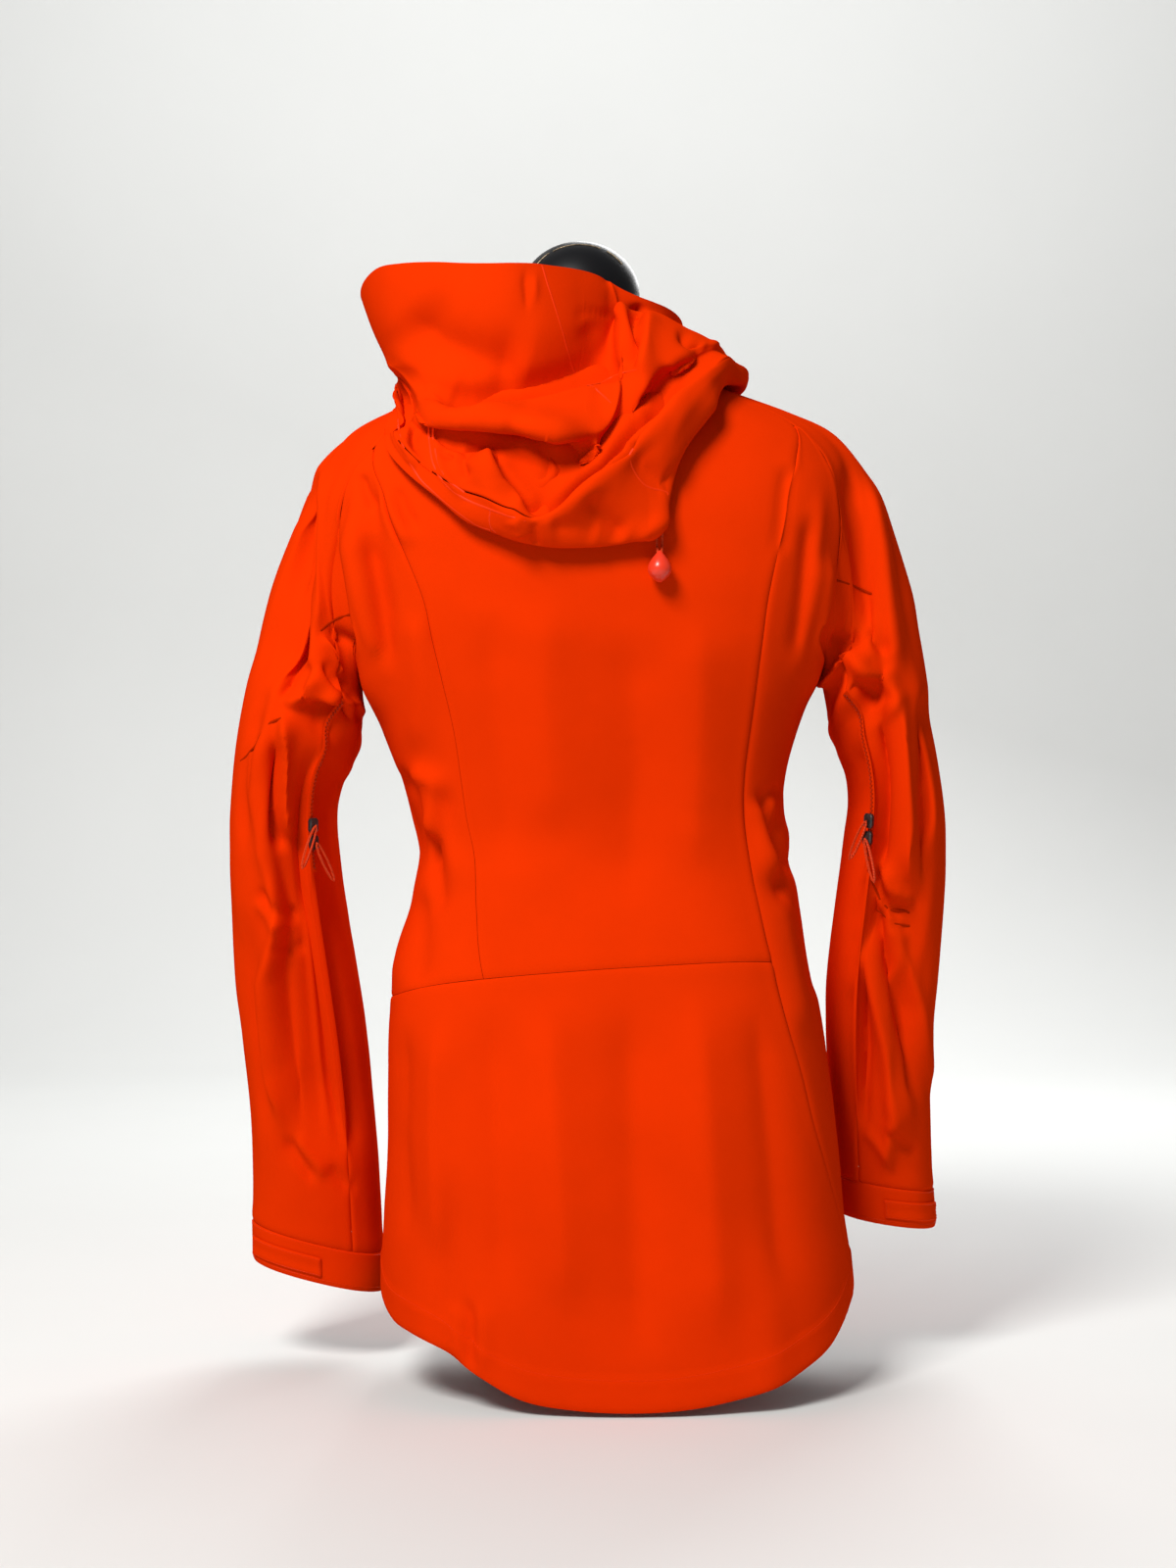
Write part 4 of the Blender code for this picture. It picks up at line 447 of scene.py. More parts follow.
HOOD_CREASES = (
    # the brim band
    (-6.0, 22, 34, ((410, 318), (446, 350), (492, 368), (540, 380))),
    (1.8, 14, 16, ((392, 352), (430, 380), (470, 392), (520, 388))),
    (-1.1, 3, 3, ((534, 279), (537, 296), (539, 313))),
    (0.9, 4, 4, ((545, 282), (547, 305))),
    (1.5, 4, 5, ((620, 285), (626, 304), (630, 326))),
    (-0.9, 3, 3, ((584, 321), (604, 319), (626, 322))),
    (-1.4, 10, 10, ((596, 330), (606, 350), (622, 366))),
    # spoon fold between the band and the second layer
    (-8.0, 5, 18, ((440, 398), (456, 413), (482, 418), (530, 408), (590, 389), (648, 377))),
    (3.4, 11, 4, ((462, 424), (530, 416), (592, 398), (642, 388))),
    # the second layer's lower ridge, its shadow and the tongue
    (6.4, 4, 18, ((404, 424), (447, 429), (500, 436), (566, 447), (607, 445))),
    (-7.4, 14, 5, ((424, 436), (500, 444), (566, 455), (600, 456))),
    (3.2, 4, 6, ((607, 447), (610, 457), (606, 467), (585, 476))),
    # the V fold
    (5.0, 16, 5, ((494, 449), (500, 470), (512, 492), (543, 531))),
    (-5.0, 5, 12, ((503, 462), (514, 488), (536, 512), (552, 524))),
    (2.2, 5, 5, ((484, 448), (514, 446), (550, 458), (562, 468), (570, 492))),
    (-2.0, 6, 7, ((526, 452), (544, 466), (556, 490))),
    # the slot and the lip under it
    (-4.0, 7, 12, ((544, 529), (567, 511), (610, 473), (642, 434), (680, 398), (718, 366))),
    (3.6, 18, 5, ((556, 530), (580, 513), (612, 484), (644, 454), (684, 416), (716, 384))),
    # the right bundle
    (-6.0, 8, 5, ((653, 308), (648, 340), (642, 372))),
    (3.6, 5, 12, ((660, 314), (656, 350), (652, 384))),
    (3.6, 8, 6, ((712, 356), (690, 376), (656, 412))),
    (-4.0, 5, 6, ((684, 372), (670, 392), (654, 418))),
    (-3.4, 5, 5, ((692, 338), (704, 350), (718, 356))),
    (2.0, 5, 5, ((722, 350), (744, 354), (752, 362))),
    # the flank and the bottom of the bag
    (3.8, 12, 22, ((726, 388), (720, 440), (710, 490), (686, 526))),
    (-4.4, 16, 14, ((646, 452), (656, 476), (676, 492), (700, 494))),
    (-3.4, 12, 12, ((598, 504), (612, 524), (640, 549))),
    (2.4, 8, 8, ((646, 552), (684, 528), (708, 508))),
    (-1.6, 4, 5, ((543, 532), (545, 548), (547, 562))),
    (1.6, 9, 9, ((528, 528), (532, 550))),
    (-1.8, 12, 12, ((560, 540), (590, 536), (612, 544))),
    # left side of the bag
    (-2.4, 4, 4, ((446, 456), (452, 464), (462, 466))),
    (2.0, 6, 6, ((436, 432), (446, 452), (452, 480), (474, 512))),
    (-2.2, 4, 5, ((428, 432), (420, 446), (424, 462))),
    (1.6, 5, 5, ((414, 432), (412, 452), (424, 478))),
    (-2.4, 5, 5, ((480, 455), (470, 468), (476, 490))),
    (-9.0, 18, 24, ((380, 376), (384, 408), (396, 440))),
)

# The upper layers' tuck behind the bag's lip.
HOOD_SLOT = (
    (-7.0, 26, 13, ((540, 530), (575, 508), (612, 477), (659, 444), (700, 400), (736, 362))),
)

# Soft pulls: centre x and z in metres, reach, and move along x.
HOOD_PULLS = ((-0.166, 0.757, 0.026, 0.014),)

# Fine seams laid on the hood, in picture units.
HOOD_SEAMS = (
    ((553, 270), (560, 292), (567, 315), (578, 352), (588, 387)),
    ((598, 387), (616, 404), (634, 421)),
    ((436, 430), (438, 452), (442, 475), (452, 492), (470, 507), (500, 520), (536, 532)),
    ((441, 430), (443, 452), (447, 474), (457, 490), (474, 503)),
    ((405, 428), (412, 458), (426, 486), (448, 508), (474, 528), (500, 547)),
    ((500, 521), (499, 534), (505, 548)),
    ((642, 455), (642, 466), (648, 482), (660, 496), (678, 501), (700, 505)),
    ((597, 387), (624, 381), (651, 377)),
)

# Fine seams laid on the sleeves, in picture units: raised welts coloured with painted seam shadow at half
# the cloth's colour.
SLEEVE_SEAMS = {
    "left": (
        ((361, 626), (344, 631), (325, 645)),
        ((282, 730), (262, 752), (243, 778)),
    ),
    "right": (
        ((853, 592), (870, 597), (890, 607)),
        ((883, 880), (892, 904), (903, 925), (930, 932)),
        ((893, 930), (912, 942), (930, 945)),
    ),
}


# ------------------------------------------------------------------ the part's curves and surfaces
def smooth(at, xs, ys, level=False):
    """A smooth curve through the points (xs, ys), read at any places; level stops it overshooting."""
    xs = np.asarray(xs, float)
    ys = np.asarray(ys, float)
    at = np.clip(np.asarray(at, float), xs[0], xs[-1])
    slope = np.gradient(ys, xs)
    if level:
        steps = np.diff(ys) / np.diff(xs)
        before, after = steps[:-1], steps[1:]
        slope[1:-1] = np.where(before * after > 0, 2 * before * after / (before + after + 1e-12), 0.0)
    i = np.clip(np.searchsorted(xs, at) - 1, 0, len(xs) - 2)
    step = xs[i + 1] - xs[i]
    t = (at - xs[i]) / step
    start = ys[i] * (1 + 2 * t) * (1 - t) ** 2 + slope[i] * step * t * (1 - t) ** 2
    end = ys[i + 1] * t * t * (3 - 2 * t) + slope[i + 1] * step * t * t * (t - 1)
    return start + end


def column(table, index, at):
    """One column of a table, read at one or many values of its first column."""
    return smooth(at, [row[0] for row in table], [row[index] for row in table])


def run_length(points):
    """How far each point of a path, or each row of a grid, lies along it from the first."""
    steps = np.cumsum(np.linalg.norm(np.diff(points, axis=0), axis=-1), axis=0)
    return np.concatenate([np.zeros((1,) + points.shape[1:-1]), steps])


def unit(vectors):
    return vectors / np.maximum(np.linalg.norm(vectors, axis=-1, keepdims=True), 1e-12)


def soft_fold(beside, along, run, half_width, height):
    """One soft ridge or trough, fading at its ends, at places measured from its start."""
    length = np.hypot(*run)
    t = (beside * run[0] + along * run[1]) / length ** 2
    off = (beside * run[1] - along * run[0]) / length
    end = np.clip(np.minimum(t, 1 - t) / FOLD_FADE + FOLD_START, 0, 1)
    return height * np.exp(-(off / half_width) ** 2) * end * end * (3 - 2 * end)


def fold_height(folds, across, along):
    """Sum of the body's soft ridges and troughs at one place."""
    total = np.zeros(np.broadcast(across, along).shape)
    for a0, l0, a1, l1, half_width, height in folds:
        total = total + soft_fold(across - a0, along - l0, (a1 - a0, l1 - l0), half_width, height)
    return total


def plain_body(angle, height):
    """The body's surface without folds, at an angle from centre back and a height."""
    angle, height = np.broadcast_arrays(np.asarray(angle, float), np.asarray(height, float))
    middle, half, widest, back, front = (column(BODY_SECTIONS, i, height) for i in range(1, 6))
    sideways = (np.sin(angle) + SQUARENESS * np.sin(3 * angle)) / (1 - SQUARENESS)
    behind = (np.cos(angle) - SQUARENESS * np.cos(3 * angle)) / (1 - SQUARENESS)
    x = middle + half * sideways
    y = np.where(behind > 0, widest - (widest - back) * behind, widest - (front - widest) * behind)
    return np.stack([x, y, height], -1)


def body_normal(angle, height):
    e = 1e-4
    round_it = plain_body(angle + e, height) - plain_body(angle - e, height)
    upward = plain_body(angle, height + e) - plain_body(angle, height - e)
    return unit(np.cross(round_it, upward))


def body(angle, height, out=0.0):
    """The cloth's outer surface, with its folds, moved outwards by out."""
    half = column(BODY_SECTIONS, 2, height)
    lift = fold_height(BODY_FOLDS, angle * half, height)
    return plain_body(angle, height) + body_normal(angle, height) * (np.asarray(out + lift)[..., None])


def hem_height(angle):
    return column(HEM_LINE, 1, np.degrees(angle))


def waist_height(angle):
    return column(WAIST_SEAM, 1, np.degrees(angle))


def neck_height(angle):
    c = np.cos(angle)
    return np.where(c > 0, NECKLINE - NAPE_DIP * c, NECKLINE - THROAT_DIP * np.abs(c) ** 1.5)


def row_height(angle, row):
    """Height of a numbered row of the body: hem, waist seam, underarm, neckline."""
    if row <= SKIRT_ROWS:
        low, high, part = hem_height(angle), waist_height(angle), row / SKIRT_ROWS
    elif row <= SKIRT_ROWS + TRUNK_ROWS:
        low, high, part = waist_height(angle), UNDERARM, (row - SKIRT_ROWS) / TRUNK_ROWS
    else:
        low, high, part = UNDERARM, neck_height(angle), YOKE_STEPS[row - SKIRT_ROWS - TRUNK_ROWS]
    return low + (high - low) * part


WAIST_ROW = SKIRT_ROWS
UNDERARM_ROW = SKIRT_ROWS + TRUNK_ROWS
TOP_ROW = UNDERARM_ROW + len(YOKE_STEPS) - 1
JOIN_ROWS = {-1: UNDERARM_ROW + 7, 1: UNDERARM_ROW + 8}    # where the princess seams meet the armholes


def seam_angle(seam, row, side):
    """Angle at which a seam crosses a row.  Side is -1 for the left and 1 for the right."""
    index = 1 if side < 0 or len(seam[0]) == 2 else 2
    angle = math.radians(seam[0][index])
    for _ in range(8):
        angle = math.radians(float(column(seam, index, float(row_height(angle, row)))))
    return angle


def headings(grid, axis, closed=False):
    """The way ahead at each point: the mean of the directions of the two edges that meet there."""
    if closed:
        after = unit(np.roll(grid, -1, axis=axis) - grid)
        return after + np.roll(after, 1, axis=axis)
    steps = unit(np.diff(grid, axis=axis))
    first, last = np.take(steps, [0], axis=axis), np.take(steps, [-1], axis=axis)
    return np.concatenate([first, steps], axis=axis) + np.concatenate([steps, last], axis=axis)


def grid_normals(grid, closed=False):
    return unit(np.cross(headings(grid, 1, closed), headings(grid, 0)))


def zip_edge(surface, side):
    """Angle at which a surface, given as a function of angle, meets the zip, whose line stays on x = 0."""
    near, far = ZIP_BETWEEN
    for _ in range(30):
        middle = (near + far) / 2
        x = float(surface(np.array(side * middle))[0])
        near, far = (middle, far) if side * x > ZIP_HALF + SEAM else (near, middle)
    return side * near


def collar_surface(angle, part):
    """The stand collar from the neckline (0) to its top (1)."""
    low = body(angle, neck_height(angle))
    (half_x, half_y), (cx, cy) = COLLAR_TOP
    c = np.cos(angle)
    top_z = COLLAR_TOP_BACK + (COLLAR_TOP_FRONT - COLLAR_TOP_BACK) * (1 - c) / 2
    high = np.stack([cx * (1 + c) / 2 + half_x * np.sin(angle), cy - half_y * c, top_z + 0 * angle], -1)
    part = np.asarray(part, float)[..., None]
    return low + (high - low) * (COLLAR_START + (1 - COLLAR_START) * part)


def zip_line():
    """Centre front, from the hem to the top of the collar, as points on x = 0 with the way out of each."""
    path = []
    for row in range(0, TOP_ROW + 1):
        height = float(row_height(math.pi, row))
        ends = [zip_edge(lambda angle: body(angle, height), side) for side in (-1, 1)]
        point = body(np.array([ends[0] + 2 * math.pi, ends[1]]), np.array([height, height])).mean(axis=0)
        path.append((0.0, point[1], point[2]))
    for i in range(1, COLLAR_STEPS + 1):
        point = collar_surface(np.array(math.pi), np.array(i / COLLAR_STEPS))
        path.append((0.0, point[1], point[2]))
    return np.array(path)


def armhole(side):
    """The armhole loop from the middle of the neckline stretch, down the front and up the back.

    Returns its points, the body's normals there, and the way across the seam towards the sleeve.
    """
    top_back = seam_angle(RAGLAN_BACK, TOP_ROW, side)
    top_front = seam_angle(RAGLAN_FRONT, TOP_ROW, side)
    middle = (top_back + top_front) / 2
    places = [(middle, TOP_ROW), ((middle + top_front) / 2, TOP_ROW)]
    rows = range(TOP_ROW, UNDERARM_ROW - 1, -1)
    places += [(seam_angle(RAGLAN_FRONT, row, side), row) for row in rows]
    places += [(seam_angle(RAGLAN_BACK, row, side), row) for row in reversed(rows) if row > UNDERARM_ROW]
    places += [((middle + top_back) / 2, TOP_ROW)]
    angles = np.array([a for a, row in places])
    heights = np.array([float(row_height(a, row)) for a, row in places])
    points = body(angles, heights)
    normals = body_normal(angles, heights)
    along = np.roll(points, -1, axis=0) - np.roll(points, 1, axis=0)
    return points, normals, unit(np.cross(along, normals)) * side


def sleeve_section(side_name, part):
    """Smooth sleeve section at a part (0 to 1) of the way from the first section to the cuff."""
    table, side = SLEEVE_SECTIONS[side_name], SIDES[side_name]
    at = part * (len(table) - 1)
    values = [float(smooth(at, range(len(table)), [row[i] for row in table])) for i in range(6)]
    outer_z, outer_x, inner_z, inner_x, middle_y, half_depth = values
    outer = np.array([side * outer_x, middle_y, outer_z])
    inner = np.array([side * inner_x, middle_y, inner_z])
    centre, half = (outer + inner) / 2, (outer - inner) / 2
    depth = np.array([0.0, half_depth, 0.0])
    swell = 1 + SLEEVE_SWELL * np.sin(2 * SLEEVE_PHASE) ** 2
    beside, before = ((turn(SLEEVE_PHASE) * swell)[:, None] for turn in (np.cos, np.sin))
    return centre + beside * half + before * depth


def sleeve_lift(folds, rows):
    """The folds' lift over a sleeve's rows, easing off at the armhole and at the cuff."""
    along = np.linspace(0, 1, rows)[:, None]
    around = np.arange(SLEEVE_TURN)[None, :] / SLEEVE_TURN
    lift = np.zeros((rows, SLEEVE_TURN))
    for a0, r0, a1, r1, half_width, height in folds:
        run = ((a1 - a0) * SLEEVE_LONG, (r1 - r0) * SLEEVE_ROUND)
        beyond = (around - r0 + 0.5) % 1.0 - 0.5
        lift += soft_fold((along - a0) * SLEEVE_LONG, beyond * SLEEVE_ROUND, run, half_width, height)
    return lift * np.clip(np.minimum(along / ARMHOLE_EASE, (1 - along) / CUFF_EASE), 0, 1)


def sleeve_grid(side_name):
    """The sleeve's coarse grid and its normals, from the armhole over the shoulder to the cuff."""
    side = SIDES[side_name]
    loop, loop_normals, across = armhole(side)
    gaps = np.full(SLEEVE_TURN, SLEEVE_SEAM)
    gaps[[0, 1, -1]] = NECK_SEAM
    start = loop + across * gaps[:, None]
    first = sleeve_section(side_name, 0.0)
    ahead = unit(sleeve_section(side_name, NEXT_PART) - first)
    reach = np.linalg.norm(first - start, axis=1, keepdims=True)
    chord = unit(first - start)
    flat = chord - loop_normals * np.sum(chord * loop_normals, axis=1, keepdims=True)
    low = np.clip(-np.cos(SLEEVE_PHASE), 0, 1)[:, None]
    leave = unit(flat + LEAVE_ACROSS * across) * (1 - low) + (loop_normals + chord) * UNDER_LEAVE * low
    leave = unit(leave) * reach * (SHOULDER_LEAVE * (1 - low) + UNDER_LEAVE * low)
    arrive = ahead * reach * (SHOULDER_ARRIVE * (1 - low) + UNDER_ARRIVE * low)
    nearness = ((1 + np.cos(SLEEVE_PHASE)) / 2)[:, None] ** 1.5
    rows = [start]
    for i, ((x, y, z), hold) in enumerate(zip(SHOULDER_LINE, SHOULDER_HOLD), 1):
        t = i / SHOULDER_ROWS
        row = (start * (1 + 2 * t) * (1 - t) ** 2 + leave * t * (1 - t) ** 2
               + first * t * t * (3 - 2 * t) + arrive * t * t * (t - 1))
        row = row + nearness * (np.array([side * x, y, z]) - row[0])
        rows.append(lay_on_body(row, hold * (1 - low[:, 0]), side))
    rows += [sleeve_section(side_name, i / SLEEVE_ROWS) for i in range(SLEEVE_ROWS + 1)]
    grid = np.array(rows)
    for _ in range(SHOULDER_EASE):
        inner = grid[1:SHOULDER_ROWS]
        beside = np.roll(inner, 1, axis=1) + np.roll(inner, -1, axis=1)
        above_and_below = grid[:SHOULDER_ROWS - 1] + grid[2:SHOULDER_ROWS + 1]
        grid[1:SHOULDER_ROWS] = inner / 2 + (above_and_below + beside) / 8
    for i in range(1, SHOULDER_ROWS):
        grid[i] = lay_on_body(grid[i], np.zeros(SLEEVE_TURN), side)
    normals = grid_normals(grid, closed=True) * -side
    grid = grid + normals * sleeve_lift(SLEEVE_FOLDS[side_name] + FRONT_FOLDS, len(grid))[..., None]
    normals = grid_normals(grid, closed=True) * -side
    normals[0] = unit(normals[0] + loop_normals * (1 - low))
    return grid, normals


def lay_on_body(points, hold, side):
    """Moves points inside the body's surface out on to it, and draws those outside towards it by a share."""
    angles, heights = (grid.ravel() for grid in np.meshgrid(*SHOULDER_PLACES))
    surface = plain_body(side * angles, heights)
    away = body_normal(side * angles, heights)
    laid = []
    for point, share in zip(points, hold):
        near = np.argmin(np.sum((surface - point) ** 2, axis=1))
        depth = float(np.dot(point - surface[near], away[near]))
        laid.append(point - away[near] * depth * (share if depth > 0 else 1.0))
    return np.array(laid)


def shrink_edge(grid, edge, beside, gap):
    """Moves one side column of a panel inwards along its row by the seam gap."""
    grid = grid.copy()
    grid[:, edge] += unit(grid[:, beside] - grid[:, edge]) * gap
    return grid


def round_neck(points):
    """Azimuth round the neck's axis from centre back, and reach from it."""
    dx, dy = points[..., 0] - NECK[0], NECK[1] - points[..., 1]
    return np.arctan2(dx, dy), np.hypot(dx, dy)


def apart(azimuths, azimuth):
    """The angle between azimuths and one azimuth, the shorter way round."""
    return np.abs((azimuths - azimuth + math.pi) % (2 * math.pi) - math.pi)


def body_reach(azimuth, height):
    """How far the body's surface is from the neck's axis, in one direction and at one height."""
    angles = np.linspace(-math.pi, math.pi, 1441)
    azimuths, reach = round_neck(plain_body(angles, np.full_like(angles, height)))
    return float(reach[np.argmin(apart(azimuths, azimuth))])


def collar_samples():
    """The collar's surface as rows of azimuth, reach, height and part of its height."""
    angles, parts = np.meshgrid(np.linspace(-math.pi, math.pi, 361), np.linspace(0, 1, 26))
    points = collar_surface(angles, parts)
    return np.stack([*round_neck(points), points[..., 2], parts], -1).reshape(-1, 4)


def collar_band(collar, azimuth):
    """The samples of the collar in one direction from the neck's axis."""
    return collar[apart(collar[:, 0], azimuth) < BAND_HALF]


def under_reach(collar, azimuth, height):
    """How far the body or the collar is from the neck's axis."""
    band = collar_band(collar, azimuth)
    level = band[np.abs(band[:, 2] - height) < LEVEL_HALF]
    return max([body_reach(azimuth, height)] + list(level[:, 1]))


def hood_profile(degrees, collar):
    """One section of the hood: (reach, height) from the brim over the folds and under to the nape."""
    azimuth = math.radians(degrees)

    def clear(height):
        return under_reach(collar, azimuth, height) + HOOD_CLEAR

    knots = []
    for i in range(1, 2 * HOOD_LINES, 2):
        reach, height = (float(column(HOOD_SECTIONS, k, degrees)) / 1000 for k in (i, i + 1))
        knots.append((max(reach, clear(height) + HOOD_LOFT), height))
    lip_reach, lip_z = knots[-1]
    bottom_z = float(column(HOOD_SECTIONS, -1, degrees)) / 1000
    while bottom_z < lip_z - BAG_LEAST and clear(bottom_z) > lip_reach - BAG_FOLD - 0.002:
        bottom_z += 0.002
    bottom_reach = clear(bottom_z) + 0.0005
    knots[-1] = (max(lip_reach, bottom_reach + BAG_FOLD - 0.001), lip_z)
    bulge = FLANK_BULGE * min(1.0, (lip_z - bottom_z) / FLANK_FULL)
    knots.append(((lip_reach + bottom_reach + BAG_FOLD) / 2 + bulge, lip_z * 0.5 + bottom_z * 0.5))
    knots.append((bottom_reach + BAG_FOLD, bottom_z + 0.0005))
    knots.append((bottom_reach, bottom_z + 0.0015))
    band = collar_band(collar, azimuth)
    nape = band[np.argmin(np.abs(band[:, 3] - (NAPE_LOW + NAPE_RISE * (1 - math.cos(azimuth)))))]
    rise = float(nape[2]) - bottom_z
    for part in NAPE_PARTS:
        knots.append((clear(bottom_z + rise * part), bottom_z + rise * part))
    corner = 2 * NAPE_CLEAR * math.sin(azimuth) ** 2 if abs(degrees) > 80 else 0.0
    knots.append((float(nape[1]) + NAPE_CLEAR + corner, float(nape[2])))
    knots = np.array(knots)
    chord = np.concatenate([[0], np.cumsum(np.hypot(*np.diff(knots, axis=0).T) ** 0.6)])
    places = [0.0]
    for i, count in enumerate(HOOD_STEPS):
        places += [chord[i] + (chord[i + 1] - chord[i]) * (k + 1) / count for k in range(count)]
    profile = np.stack([smooth(places, chord, knots[:, i], level=True) for i in (0, 1)], -1)
    profile[1:-1] = profile[1:-1] / 2 + (profile[:-2] + profile[2:]) / 4
    for point in profile[:-1]:
        point[0] = max(point[0], clear(point[1]))
    return profile


def hood_point(degrees, profile):
    azimuth = math.radians(degrees)
    x = NECK[0] + profile[:, 0] * math.sin(azimuth)
    y = NECK[1] - profile[:, 0] * math.cos(azimuth)
    return np.stack([x, y, profile[:, 1]], -1)


# ------------------------------------------------------------------ fine cloth
CAMERA_BACK = 2.0        # camera to the neck's plane
FRAME_SCALE = 2632.0     # picture units to a metre, a metre away, in a picture 1200 wide and 1600 high
FRAME_CENTRE = (602.0, 800.0)
EYE_HEIGHT = 0.475       # as a height of the tables
CREST = 1.5              # the power that shapes a crease: the lower, the sharper its crest
FAR_SHARE = 0.7          # how deep the folds of the hidden side are, beside those in view
SIDE_ON, SIDE_FADE = 0.25, 0.6   # how far cloth faces away where its folds change, and over what turn
GRAIN = {"body": 0.0033, "sleeve": 0.0027, "hood": 0.0018, "small": 0.0016}   # spacing of the fine points


def spline(grid, by, closed=False):
    """The grid with by steps from each row to the next, on a smooth curve through the rows."""
    if closed:
        one = grid
        zero, two, three = (np.roll(grid, shift, axis=0) for shift in (1, -1, -2))
    else:
        longer = np.concatenate([2 * grid[:1] - grid[1:2], grid, 2 * grid[-1:] - grid[-2:-1]])
        zero, one, two, three = longer[:-3], longer[1:-2], longer[2:-1], longer[3:]
    steps = []
    for i in range(by):
        t = i / by
        steps.append(one + 0.5 * t * (two - zero + t * (2 * zero - 5 * one + 4 * two - three
                                                        + t * (3 * (one - two) + three - zero))))
    fine = np.stack(steps, axis=1).reshape((-1,) + grid.shape[1:])
    return fine if closed else np.concatenate([fine, grid[-1:]])


def refine(grid, rows_by, columns_by, closed=False):
    fine = spline(np.asarray(grid, float), rows_by)
    return np.swapaxes(spline(np.swapaxes(fine, 0, 1), columns_by, closed), 0, 1)


def steps_for(grid, grain):
    """How many steps each row and column needs for points about a grain apart."""
    rows = np.linalg.norm(np.diff(grid, axis=0), axis=-1).mean()
    columns = np.linalg.norm(np.diff(grid, axis=1), axis=-1).mean()
    return max(1, round(float(rows) / grain)), max(1, round(float(columns) / grain))


def in_picture(points):
    """Where the camera sees points, in picture units."""
    away = CAMERA_BACK + points[..., 1]
    across = FRAME_CENTRE[0] + FRAME_SCALE * points[..., 0] / away
    down = FRAME_CENTRE[1] - FRAME_SCALE * (points[..., 2] - EYE_HEIGHT) / away
    return across, down


def beside_path(u, v, path, wide_left, wide_right):
    """How far places of the picture are off a path, in its widths, and what share of the way along."""
    lengths = [math.dist(*ends) for ends in zip(path, path[1:])]
    nearest, share, gone = np.full(u.shape, 1e9), np.zeros(u.shape), 0.0
    for (x0, y0), (x1, y1), length in zip(path, path[1:], lengths):
        dx, dy = (x1 - x0) / length, (y1 - y0) / length
        t = np.clip((u - x0) * dx + (v - y0) * dy, 0, length)
        off_x, off_y = u - x0 - t * dx, v - y0 - t * dy
        off = np.hypot(off_x, off_y) / np.where(off_x * dy - off_y * dx < 0, wide_left, wide_right)
        share = np.where(off < nearest, (gone + t) / sum(lengths), share)
        nearest = np.minimum(nearest, off)
        gone += length
    return nearest, share


def crease_lift(points, normals, creases, depth):
    """Sum of the listed ridges and troughs, in metres along the normals."""
    across, down = in_picture(points)
    away = (normals[..., 1] - SIDE_ON) / SIDE_FADE
    seen = np.clip(-away, 0, 1) + FAR_SHARE * np.clip(away, 0, 1)
    lift = np.zeros(across.shape)
    for height, wide_left, wide_right, path in creases:
        reach = 3 * max(wide_left, wide_right)
        near = np.ones(across.shape, bool)
        for places, line in zip((across, down), zip(*path)):
            near &= (places > min(line) - reach) & (places < max(line) + reach)
        if not near.any():
            continue
        off, share = beside_path(across[near], down[near], path, wide_left, wide_right)
        end = np.clip(np.minimum(share, 1 - share) / CREASE_FADE + CREASE_START, 0, 1)
        lift[near] += height * depth * 0.001 * np.exp(-off ** CREST) * end * end * (3 - 2 * end)
    return smoothed(lift) * seen


def smoothed(lift):
    """The lift with each point half from its neighbours, so that a slanting crease has no steps."""
    for _ in ("up and down", "across"):
        wide = np.concatenate([lift[:1], lift, lift[-1:]])
        lift = (lift / 2 + (wide[:-2] + wide[2:]) / 4).T
    return lift


def ripple(points, size):
    """Small uneven waves, so that no cloth lies quite even."""
    x, y, z = np.moveaxis(points, -1, 0)
    total = np.zeros(x.shape)
    for k, (a, b, c, phase) in enumerate(RIPPLES):
        wave = (a * x + b * y + c * z) * 2 * math.pi
        bend = np.sin(z * (19 + 7 * k) + phase) + np.sin(x * (23 + 5 * k) + 2 * phase)
        total += np.sin(wave + phase + 1.1 * bend)
    return total * size / len(RIPPLES)


def edge_lift(count, seams):
    """How a panel rises beside its seams and dips at their edges, from its first point to its last."""
    lift = np.zeros(count)
    rise = SEAM_RISE[:count]
    for sewn, from_edge in zip(seams, (lift, lift[::-1])):
        if sewn:
            from_edge[:len(rise)] += rise
    return lift


def with_close_edges(grid, closed):
    """Adds a row next to each edge, so that a seam is crisp."""
    for axis in ((0,) if closed else (0, 1)):
        grid = np.swapaxes(grid, 0, axis)
        near_first = grid[:1] * (1 - CLOSE_EDGE) + grid[1:2] * CLOSE_EDGE
        near_last = grid[-2:-1] * CLOSE_EDGE + grid[-1:] * (1 - CLOSE_EDGE)
        grid = np.concatenate([grid[:1], near_first, grid[1:-1], near_last, grid[-1:]])
        grid = np.swapaxes(grid, 0, axis)
    return grid


def mesh_piece(name, points, faces, finish, slot, sharp=60):
    """A piece from points whose heights are those of the tables."""
    mesh = bpy.data.meshes.new(name)
    mesh.from_pydata((np.asarray(points, float) - (0.0, 0.0, GROUND)).tolist(), [], faces)
    mesh.materials.append(finish)
    mesh.shade_smooth()
    mesh.set_sharp_from_angle(angle=math.radians(sharp))
    made = bpy.data.objects.new(name, mesh)
    bpy.context.collection.objects.link(made)
    return made


def grid_faces(rows, columns, closed, start=0, over=False):
    r, c = np.meshgrid(np.arange(rows - 1), np.arange(columns if closed else columns - 1), indexing="ij")
    d = (c + 1) % columns
    faces = np.stack([r * columns + c, r * columns + d, (r + 1) * columns + d, (r + 1) * columns + c], -1)
    faces = faces.reshape(-1, 4) + start
    return (faces[:, ::-1] if over else faces).tolist()


def facing(grid, way_out, closed):
    """The grid's normals, on the side of way_out."""
    normals = grid_normals(grid, closed)
    return -normals if np.sum(normals * way_out) < 0 else normals


def edge_fade(count):
    """From 0 at the first and last of count points to 1 a few points in."""
    return np.clip(np.minimum(np.arange(count), count - 1 - np.arange(count)) / EDGE_POINTS, 0, 1)


